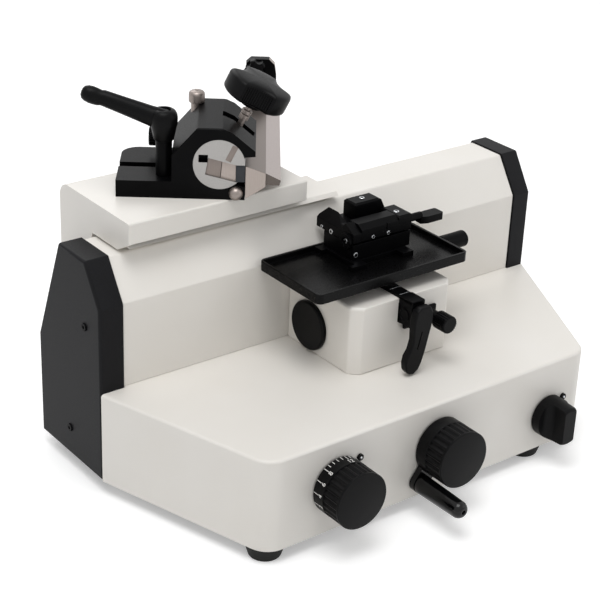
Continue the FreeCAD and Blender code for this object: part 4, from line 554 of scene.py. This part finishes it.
def handwheel():
    """The wheel: a plain ring behind, a fluted grip, and a flat face with a full rim."""
    piece = turn("feed_wheel", [(0, 1.2), (22.7, 1.2), (23, 1.5), (23, 11.6), (22.6, 12),
                                (0, 12)], 120)
    flutes = sweep("flutes", fluted_ring(22.9, 1.1, 28, 8, 0.75), 11.8, 27.2)
    rim = turn("rim", [(0, 26.8), (22.2, 26.8), (22.9, 27.3), (22.9, 28.6), (22.5, 29.1),
                       (22.1, 29.2), (0, 29.2)], 120)
    weld(piece, flutes, rim)
    stand(piece, on_front(*WHEEL_AT))
    dress(piece, "wheel", "knob_plastic", [KNOB], "handwheel", smooth=30)


def dial():
    """The thickness dial: a plain ring for the scale behind a fluted grip."""
    piece = turn("dial_grip", [(0, 1.2), (22.2, 1.2), (22.5, 1.5), (22.5, 12.0), (22.2, 12.3),
                               (21.5, 12.3), (21.5, 13.1), (0, 13.1)], 120)
    flutes = sweep("flutes", fluted_ring(22.4, 1.1, 28, 8, 0.75), 12.9, 27.2)
    rim = turn("rim", [(0, 26.8), (21.7, 26.8), (22.4, 27.3), (22.4, 28.6), (22.0, 29.1),
                       (21.6, 29.2), (0, 29.2)], 120)
    weld(piece, flutes, rim)
    stand(piece, on_front(*DIAL_AT))
    dress(piece, "dial", "knob_plastic", [KNOB], "thickness_dial", smooth=30)


# angle of each tick on the dial's ring, and the number beside it
TICKS = [(223.5, "0"), (199.5, "2"), (175.5, "4"), (151.5, "6"), (127.5, "8"), (79.5, "12"),
         (247.5, ""), (271.5, ""), (295.5, ""), (319.5, ""), (343.5, ""), (7.5, ""),
         (31.5, ""), (118, None), (108.5, None), (99, None), (89.5, None), (70, None),
         (60, None), (50.5, None), (41, None)]


def dial_marks():
    """The white ticks and numbers on the dial's ring: long ones with the numbers."""
    radius = 22.5
    face = on_front(*DIAL_AT)
    # text faces out from the ring with its head toward the base
    outward = Matrix(((0, 0, 1, 0), (-1, 0, 0, 0), (0, -1, 0, 0), (0, 0, 0, 1)))
    marks = []
    for angle, number in TICKS:
        around = face @ Matrix.Rotation(math.radians(angle), 4, "Z")
        long = 3.6 if number is None else 5.0
        tick = begin("tick", "cube", size=1, scale=(0.16, 0.5, long))
        bpy.ops.object.transform_apply(location=False, rotation=False, scale=True)
        ease(tick, 0.05, 1)
        marks.append(stand(tick, around @ Matrix.Translation((radius, 0, 1.7 + long / 2))))
        if number:
            bpy.ops.object.select_all(action="DESELECT")
            bpy.ops.object.text_add()
            text = bpy.context.active_object
            text.data.body = number
            text.data.align_x = "CENTER"
            text.data.align_y = "CENTER"
            text.data.size = 5.4
            text.data.extrude = 0.1
            bpy.ops.object.convert(target="MESH")
            pick(text, "FACE", lambda face: True)
            close(text, True)
            at = Matrix.Translation((radius - 0.04, 0, 9.3))
            marks.append(stand(text, around @ at @ outward))
    piece = weld(*marks)
    piece.name = piece.data.name = "dial_marks"
    dress(piece, "dial", "white_paint", [INK])


def grip():
    """The glossy tapered grip, round at its tip, with the pin's hole in it."""
    profile = [(0, 0), (6.6, 0), (7.3, 0.3), (7.6, 1.0)]
    profile += [(7.6 - 0.8 * i / 8, 1.0 + 40 * i / 8) for i in range(1, 9)]
    for step in range(1, 9):
        angle = math.radians(90 * step / 8)
        profile.append((2.0 + 4.8 * math.cos(angle), 41.0 + 6.0 * math.sin(angle)))
    profile += [(1.7, 46.8), (1.6, 46.4), (1.6, 44.0), (0, 44.0)]
    piece = turn("crank_handle", profile, 64)
    arm_face = -155.7
    stand(piece, on_front(WHEEL_AT[0] + CRANK_REACH * math.cos(CRANK_TURN),
                          WHEEL_AT[1] + CRANK_REACH * math.sin(CRANK_TURN), arm_face))
    dress(piece, "grip", "grip_plastic", [GLOSS], "crank_grip", smooth=50)


def selector():
    """The selector: a round knob scooped out on both sides, so that a wing is left."""
    skirt, wing, hollow = 9.2, 6, 7
    piece = sweep("selector_wing", ring_of(17, 72), 1.2, skirt)
    grow(piece, 1, ((0.95, 14.4), (0.93, 1.2), (0.88, 0.9), (0.82, 0.5)))
    scoop = []
    for angle in range(0, 91, 15):
        lean = math.radians(angle)
        scoop.append((wing + hollow * (1 - math.cos(lean)),
                      skirt + hollow * (1 - math.sin(lean))))
    scoop += [(19, skirt), (19, 28), (wing, 28)]
    tools = []
    for side in (-1, 1):
        tool = sweep("scoop", [(side * x, z) for x, z in scoop], -20, 20)
        tools.append(stand(tool, TO_FRONT))
    carve(piece, *tools)
    ease(piece, 1.2, 4, 40)
    stand(piece, on_front(*SELECTOR_AT))
    dress(piece, "selector", "knob_plastic", [KNOB], "selector_knob", smooth=40, level=True)


def lobed_knob():
    """The three-lobed knob, domed on top, with ribs in its three valleys."""
    lobe, scoop_away, scoop = 25.0, 39, 21
    outline = []
    for step in range(180):
        angle = math.tau * step / 180
        away = (angle + math.pi / 2) % (math.tau / 3)
        away = min(away, math.tau / 3 - away)
        beside = scoop_away * math.sin(away)
        reach = lobe
        if beside < scoop * 0.98:
            near_side = scoop_away * math.cos(away) - math.sqrt(scoop ** 2 - beside ** 2)
            reach = min(reach, near_side)
        outline.append((reach * math.cos(angle), reach * math.sin(angle)))
    piece = sweep("clamping_star", outline, 46.4, 56.7)
    grow(piece, 1, ((0.988, 1.1), (0.96, 1.0), (0.91, 0.8), (0.82, 0.6), (0.66, 0.6),
                    (0.44, 0.4), (0.2, 0.1)))
    grow(piece, -1, ((0.985, 1.2), (0.94, 1.0), (0.86, 0.8), (0.76, 0.4)))
    rib = turn("rib", [(0, 45.2), (0.6, 45.3), (0.8, 46), (0.8, 56.3), (0.5, 57.7), (0, 57.9)],
               10)
    ribs = []
    for valley in range(3):
        facing = Matrix.Rotation(math.tau * valley / 3 - math.pi / 2, 4, "Z")
        for number in range(-6, 7):
            lean = math.radians(5.2 * number)
            at = (scoop_away - scoop * math.cos(lean), scoop * math.sin(lean), 0)
            ribs.append(twin(rib, facing @ Matrix.Translation(at)))
    neck = turn("neck", [(0, 39), (8.4, 39), (9, 39.6), (9, 42), (12, 44), (0, 44)], 64)
    bpy.data.objects.remove(rib)
    weld(piece, neck, *ribs)
    stand(piece, STEM)
    dress(piece, "knife_screw", "knob_plastic", [KNOB], "clamp_knob", smooth=45)


def screw_stem():
    """The bright clamping screw with a plain ring and a knurled ring below it."""
    piece = turn("screw_stem", [(0, 3), (2, 3), (2.4, 3.4), (2.4, 31.6), (3.7, 31.7),
                                (4, 32), (4, 34.7), (3.7, 35), (2.4, 35), (2.4, 50),
                                (0, 50)], 48)
    ring = fluted("nut", 3.8, 27, 31, 16, 0.3, 0.4)
    weld(piece, ring)
    stand(piece, STEM)
    dress(piece, "knife_screw", "chrome", [NICKEL], "clamp_stem", smooth=40)


def swing_lever():
    """The clamping lever: a thick tapered arm on a round hub with a sunk screw."""
    arm = turn("arm", [(0, 0), (8.2, 0), (8.2, 6), (7.6, 11), (7.1, 22), (6.5, 36), (6.0, 50),
                       (6.1, 52.5), (6.5, 56), (6.6, 59.5), (6.1, 63), (4.8, 65.6), (2.6, 67),
                       (0, 67.3)], 48)
    pick(arm, "VERT", lambda vertex: vertex.co.z > 52)
    bpy.ops.transform.translate(value=(-0.9, 0, 0))
    close(arm)
    rise = Matrix.Translation((0, 0, 14.5)) @ Matrix.Rotation(math.radians(-70), 4, "Y")
    stand(arm, rise @ Matrix.Diagonal((1, 0.85, 0.95, 1)))
    hub = turn("swing_lever", [(0, 0), (7.2, 0), (7.6, 0.4), (9.4, 9), (10.2, 12), (10.4, 17),
                               (9.9, 20), (8.8, 22), (7.2, 23.2), (5.8, 23.5), (5.3, 23.1),
                               (5.2, 21.4), (3.8, 21.4), (3.7, 22.4), (3.4, 22.6),
                               (0, 22.6)], 64)
    socket = sweep("socket", ring_of(2.1, 6), 20.5, 24)
    carve(hub, socket)
    weld(hub, arm)
    stand(hub, HOLDER @ Matrix.Translation((35, 15, 41.1)))
    dress(hub, "clamping_lever", "grip_plastic", [KNOB], "clamp_lever", smooth=40)


def side_screw():
    """The small knurled lock screw in the holder's left wall."""
    piece = fluted("side_screw", 7.2, 0, 8.4, 24, 0.7, 0.8)
    stud = turn("stud", [(0, -17.5), (2.1, -17.5), (2.5, -17), (2.5, 0.2), (0, 0.2)], 32)
    weld(piece, stud)
    stand(piece, HOLDER @ Matrix.Translation((29.5, 58, 27)) @ TO_LEFT)
    dress(piece, "side_screw", "black_aluminium", [BLACK], "side_lock", smooth=40)


def holder_pin():
    """The satin pin on the holder's shoulder, undercut, with a centre hole on top."""
    piece = turn("holder_pin", [(0, 42), (4.4, 42), (4.4, 56), (5.7, 56.1), (6.2, 56.6),
                                (6.2, 62), (6.0, 63.3), (5.3, 64.3), (4.2, 64.9), (1.5, 65.3),
                                (1.2, 65), (1.1, 64), (0, 64)], 64)
    stand(piece, HOLDER @ Matrix.Translation((57.6, 58, 0)))
    dress(piece, "sledge", "chrome", [NICKEL], "locating_pin", smooth=40)


def wedges():
    """The steel carrier in the drum, made of two milled wedges side by side."""
    along = HOLDER @ TO_FRONT
    left = sweep("carrier_wedges", [(68.6, 32.8), (66.3, 19.6), (77.4, 16.9), (78.6, 30.3)],
                 -68, -1)
    right = sweep("right", [(78.8, 30.2), (77.6, 16.8), (89.2, 13.9), (89.2, 27.7)], -68, -1.6)
    ease(left, 0.3)
    ease(right, 0.3)
    weld(left, right)
    # the left wedge takes the darker steel as painted shade, the right one the light steel
    for polygon in left.data.polygons:
        polygon.material_index = 1 if polygon.center.x > 78.7 else 0
    stand(left, along)
    dress(left, "knife_unit", "ground_steel", [SHADED, STEEL], "knife_carrier")


def drum():
    """The light drum with its pocket painted black as shade, and the end of the clamping
    screw, which shows as a thin bar on the drum's face."""
    piece = joined("tilt_disc", "drum")
    back = (BENCH.inverted() @ HOLDER).inverted()
    for polygon in piece.data.polygons:
        across, deep, up = back @ polygon.center
        # the pocket's faces are painted black as its shade
        pocket = 61.2 < across < 68.4 and 29.1 < up < 35.3 and 0.5 < deep < 7
        polygon.material_index = 1 if pocket else 0
    stand(piece, BENCH)
    dress(piece, "knife_unit", "light_aluminium", [DRUM, BLACK], "tilt_disc", level=True)
    strip = box("drum_screw", (-2.2, -0.25, 3.2), (2.2, 1.0, 16.2), 0.2)
    stand(strip, HOLDER @ Matrix.Translation((STEM_X, 0, DRUM_Z)) @ Matrix.Rotation(
        STEM_LEAN, 4, "Y"))
    # the bar takes the darker steel as painted shade
    dress(strip, "knife_unit", "ground_steel", [SHADED])


def groove_nut():
    """The nut that lies low in the tongue's groove."""
    piece = joined("tee_nut", "groove_nut")
    pick(piece, "VERT", lambda vertex: vertex.co.z > SLEDGE_TOP + 11)
    bpy.ops.transform.translate(value=(0, 0, -4))
    close(piece)
    ease(piece, 0.3)
    stand(piece, BENCH)
    dress(piece, "sledge", "black_aluminium", [BLACK], "tee_nut")


def socket_head(name, radius, high, key):
    """A low screw head about z with a hexagon socket whose walls and floor are painted dark as
    shade.
    """
    head = turn(name, [(0, 0), (radius, 0), (radius, high * 0.6), (radius - 0.25, high),
                       (0, high)], 32)
    carve(head, sweep("key", ring_of(key, 6), high * 0.25, high + 1))
    head.data.materials.append(ZINC)
    head.data.materials.append(BLACK)
    for polygon in head.data.polygons:
        middle = polygon.center
        # the socket's walls and floor take the second finish as painted shade
        sunk = math.hypot(middle.x, middle.y) < key * 0.95 and middle.z > high * 0.1
        polygon.material_index = 1 if sunk else 0
    return head


def screws():
    """The clamp's bright socket screws and the black ones in the end caps."""
    clamp = socket_head("clamp_heads", 2.2, 0.5, 1.25)
    small = Matrix.Diagonal((0.72, 0.72, 1, 1))
    spots = [((201, -13.5, 164.1), TO_LEFT), ((201, -1.6, 164.1), TO_LEFT @ small),
             ((235.7, -41, 165.3), TO_FRONT @ small), ((220.5, -41, 165.3), TO_FRONT @ small),
             ((251, -31.5, 176.2), Matrix()), ((199.9, -33, 163.6), TO_LEFT)]
    heads = [twin(clamp, on_bench(*at, turned)) for at, turned in spots]
    plate = twin(clamp, on_bench(203.9, -41, 153.7, TO_FRONT))
    jaw = twin(clamp, on_bench(233, -10, 184))
    bpy.data.objects.remove(clamp)
    piece = weld(*heads)
    piece.name = piece.data.name = "clamp_heads"
    dress(piece, "clamp_top", "chrome", [ZINC, BLACK], "clamp_screws")
    plate.name = plate.data.name = "foot_head"
    dress(plate, "lift", "chrome", [ZINC, BLACK])
    jaw.name = jaw.data.name = "jaw_head"
    dress(jaw, "moving_jaw", "chrome", [ZINC, BLACK])

    cap = socket_head("cap_heads", 3.2, 1.2, 1.5)
    heads = []
    for along, up in ((20.4, 122.0), (45.8, 24.3)):
        heads.append(twin(cap, on_bench(0, along, up, TO_LEFT)))
        heads.append(twin(cap, on_bench(430, along, up, TO_RIGHT)))
    bpy.data.objects.remove(cap)
    piece = weld(*heads)
    piece.name = piece.data.name = "cap_heads"
    dress(piece, "frame", "cap_plastic", [BLACK, KNOB], "cap_screws")


def index_dots():
    """The two small marks beside the dial and the selector: a dark ring round a bright dot."""
    dots = []
    for across, up in INDEX_AT:
        dot = turn("dot", [(0, -1), (2.7, -1), (2.7, 1.6), (2.2, 2.1), (1.1, 2.1), (0.9, 2.4),
                           (0.5, 2.7), (0, 2.8)], 32)
        dots.append(stand(dot, on_front(across, up)))
    piece = weld(*dots)
    piece.name = piece.data.name = "index_dots"
    dress(piece, "frame", "knob_plastic", [KNOB, ZINC], "index_pins")
    dot_root = (BENCH @ Vector((0, BASE_FRONT - 2.15, 0))).y
    for polygon in piece.data.polygons:
        polygon.material_index = 1 if polygon.center.y < dot_root else 0


# the lock lever seen from the front, as x and z of the bench
LEVER = [(217, 131.5), (226.5, 131.2), (229.3, 126), (229.2, 117), (226.4, 105), (223.8, 94),
         (221, 85), (218, 79.4), (213.6, 76.4), (209, 77.2), (205.9, 81), (205, 87),
         (206, 92.5), (209.4, 97.5), (211.4, 105), (211.2, 113), (211.6, 122), (213.4, 129)]


def locking_arm():
    """The arm over the housing with the block at its end, its lug, lever and knurled screw."""
    piece = box("locking_arm", (213.5, -99.2, 131.8), (224.5, -55.3, 134.8), 0.5)
    block = box("block", (213.5, -99.2, 111.8), (226.5, -83.2, 134.4), 1.0)
    drop = box("drop", (213.5, -86.2, 111.8), (229.5, -83.2, 128), 0.3)
    lug = box("lug", (218.7, -86.2, 105), (250.5, -83.5, 118.6), 0.6)
    disc = turn("disc", [(0, 0), (5.4, 0), (5.4, 0.7), (5.0, 1.0), (4.2, 1.0), (4.0, 0.6),
                         (0, 0.6)], 40)
    stand(disc, Matrix.Translation((213.6, -91, 121)) @ TO_LEFT)
    weld(piece, block, drop, lug, disc)
    stand(piece, BENCH)
    dress(piece, "frame", "black_aluminium", [BLACK], "lock_arm", level=True)

    lever = sweep("arm_lever", LEVER, 99.5, 106.4)
    ease(lever, 1.3, 3, 30)
    stand(lever, TO_FRONT)
    slit = begin("slit", "cube", size=1, location=(217.2, -106.6, 104.5),
                 scale=(1.0, 2.4, 15), rotation=(0, math.radians(14), 0))
    carve(lever, slit)
    stand(lever, BENCH)
    dress(lever, "arm_lever", "black_aluminium", [KNOB], "lock_lever", smooth=40, level=True)

    screw = fluted("arm_screw", 7.2, 0, 13, 22, 0.8, 1.2)
    neck = turn("neck", [(0, -12.5), (2.2, -12.5), (2.2, -10.5), (4.6, -10.5), (5, -10.1),
                         (5, 0.2), (0, 0.2)], 48)
    weld(screw, neck)
    stand(screw, on_bench(244, -97, 111.6, TO_FRONT))
    dress(screw, "arm_screw", "black_aluminium", [KNOB], "arm_knob", smooth=40, level=True)

    piece = box("arm_bands", (213.9, -72.3, 134.6), (224.1, -71.7, 135), 0.1)
    weld(piece, box("band", (213.9, -83.5, 134.6), (224.1, -82.9, 135), 0.1))
    stand(piece, BENCH)
    dress(piece, "frame", "light_aluminium", [ZINC])


def plain_rays(tree):
    """1 for a ray that comes from the camera, a gloss or a glass, and 0 for one that lights."""
    path = add(tree, "LightPath").outputs
    seen = add(tree, "Math", {0: path["Is Camera Ray"], 1: path["Is Glossy Ray"]},
               operation="MAXIMUM")
    return add(tree, "Math", {0: seen.outputs[0], 1: path["Is Transmission Ray"]},
               operation="MAXIMUM").outputs[0]


def paper_floor():
    """White paper under the machine: it keeps the shadows and looks white around them."""
    bpy.ops.object.select_all(action="DESELECT")
    bpy.ops.mesh.primitive_plane_add(size=30, location=(0, 0, 0))
    floor = bpy.context.active_object
    floor.name = "floor"
    material, tree, shader = finish("floor_paper", "#F2F2F2", 0.9)
    dark = add(tree, "Emission", {"Strength": 0.0})
    lift = add(tree, "Emission", {"Strength": 0.32})
    chosen = add(tree, "MixShader", {0: plain_rays(tree), 1: dark.outputs[0],
                                     2: lift.outputs[0]})
    both = add(tree, "AddShader", {0: shader.outputs[0], 1: chosen.outputs[0]})
    tree.links.new(both.outputs[0], tree.nodes["Material Output"].inputs["Surface"])
    floor.data.materials.append(material)


def white_room():
    """A room that lights softly from all round and is seen as plain white."""
    world = bpy.data.worlds.new("studio")
    bpy.context.scene.world = world
    world.use_nodes = True
    tree = world.node_tree
    tree.nodes.clear()
    room = add(tree, "Background", {"Color": (1, 1, 1, 1), "Strength": 0.45})
    white = add(tree, "Background", {"Color": (1, 1, 1, 1), "Strength": 1.0})
    mix = add(tree, "MixShader", {0: plain_rays(tree), 1: room.outputs[0],
                                  2: white.outputs[0]})
    out = add(tree, "OutputWorld")
    tree.links.new(mix.outputs[0], out.inputs["Surface"])


def soft_lamps():
    """Three square lamps that look at the machine: name, place, width in metres and watts."""
    middle = Vector((0, 0, 0.1))
    for name, spot, size, power in (("key", (-0.55, -0.35, 2.1), 1.3, 25),
                                    ("fill", (1.6, -1.5, 1.1), 1.4, 4),
                                    ("back", (0.3, 1.6, 1.5), 1.2, 8)):
        bpy.ops.object.light_add(type="AREA", location=spot)
        lamp = bpy.context.active_object
        lamp.name = name
        lamp.data.size = size
        lamp.data.energy = power
        lamp.rotation_euler = (middle - Vector(spot)).to_track_quat("-Z", "Y").to_euler()


def photo_camera():
    """The camera where it stood for the photograph, 1.66 m from its target, a little rolled."""
    azimuth, elevation, roll = map(math.radians, (-38.05, 26.10, 2.39))
    distance, focal_in_widths, film = 1.65825, 1614.54 / 600, 36
    target = BENCH @ Vector((393.01, 267.53, -62.64))
    back = Vector((math.sin(azimuth) * math.cos(elevation),
                   -math.cos(azimuth) * math.cos(elevation), math.sin(elevation)))
    right = Vector((math.cos(azimuth), math.sin(azimuth), 0))
    up = back.cross(right)
    across = right * math.cos(roll) + up * math.sin(roll)
    above = up * math.cos(roll) - right * math.sin(roll)
    bpy.ops.object.camera_add()
    camera = bpy.context.active_object
    camera.matrix_world = Matrix.Translation(target + back * distance) @ Matrix(
        (across, above, back)).transposed().to_4x4()
    camera.data.lens = focal_in_widths * film
    camera.data.sensor_width = film
    bpy.context.scene.camera = camera
    bpy.context.scene.view_settings.view_transform = "Standard"


eased_solids()
handwheel()
dial()
dial_marks()
grip()
selector()
lobed_knob()
screw_stem()
swing_lever()
side_screw()
holder_pin()
wedges()
drum()
groove_nut()
screws()
index_dots()
locking_arm()
paper_floor()
white_room()
soft_lamps()
photo_camera()
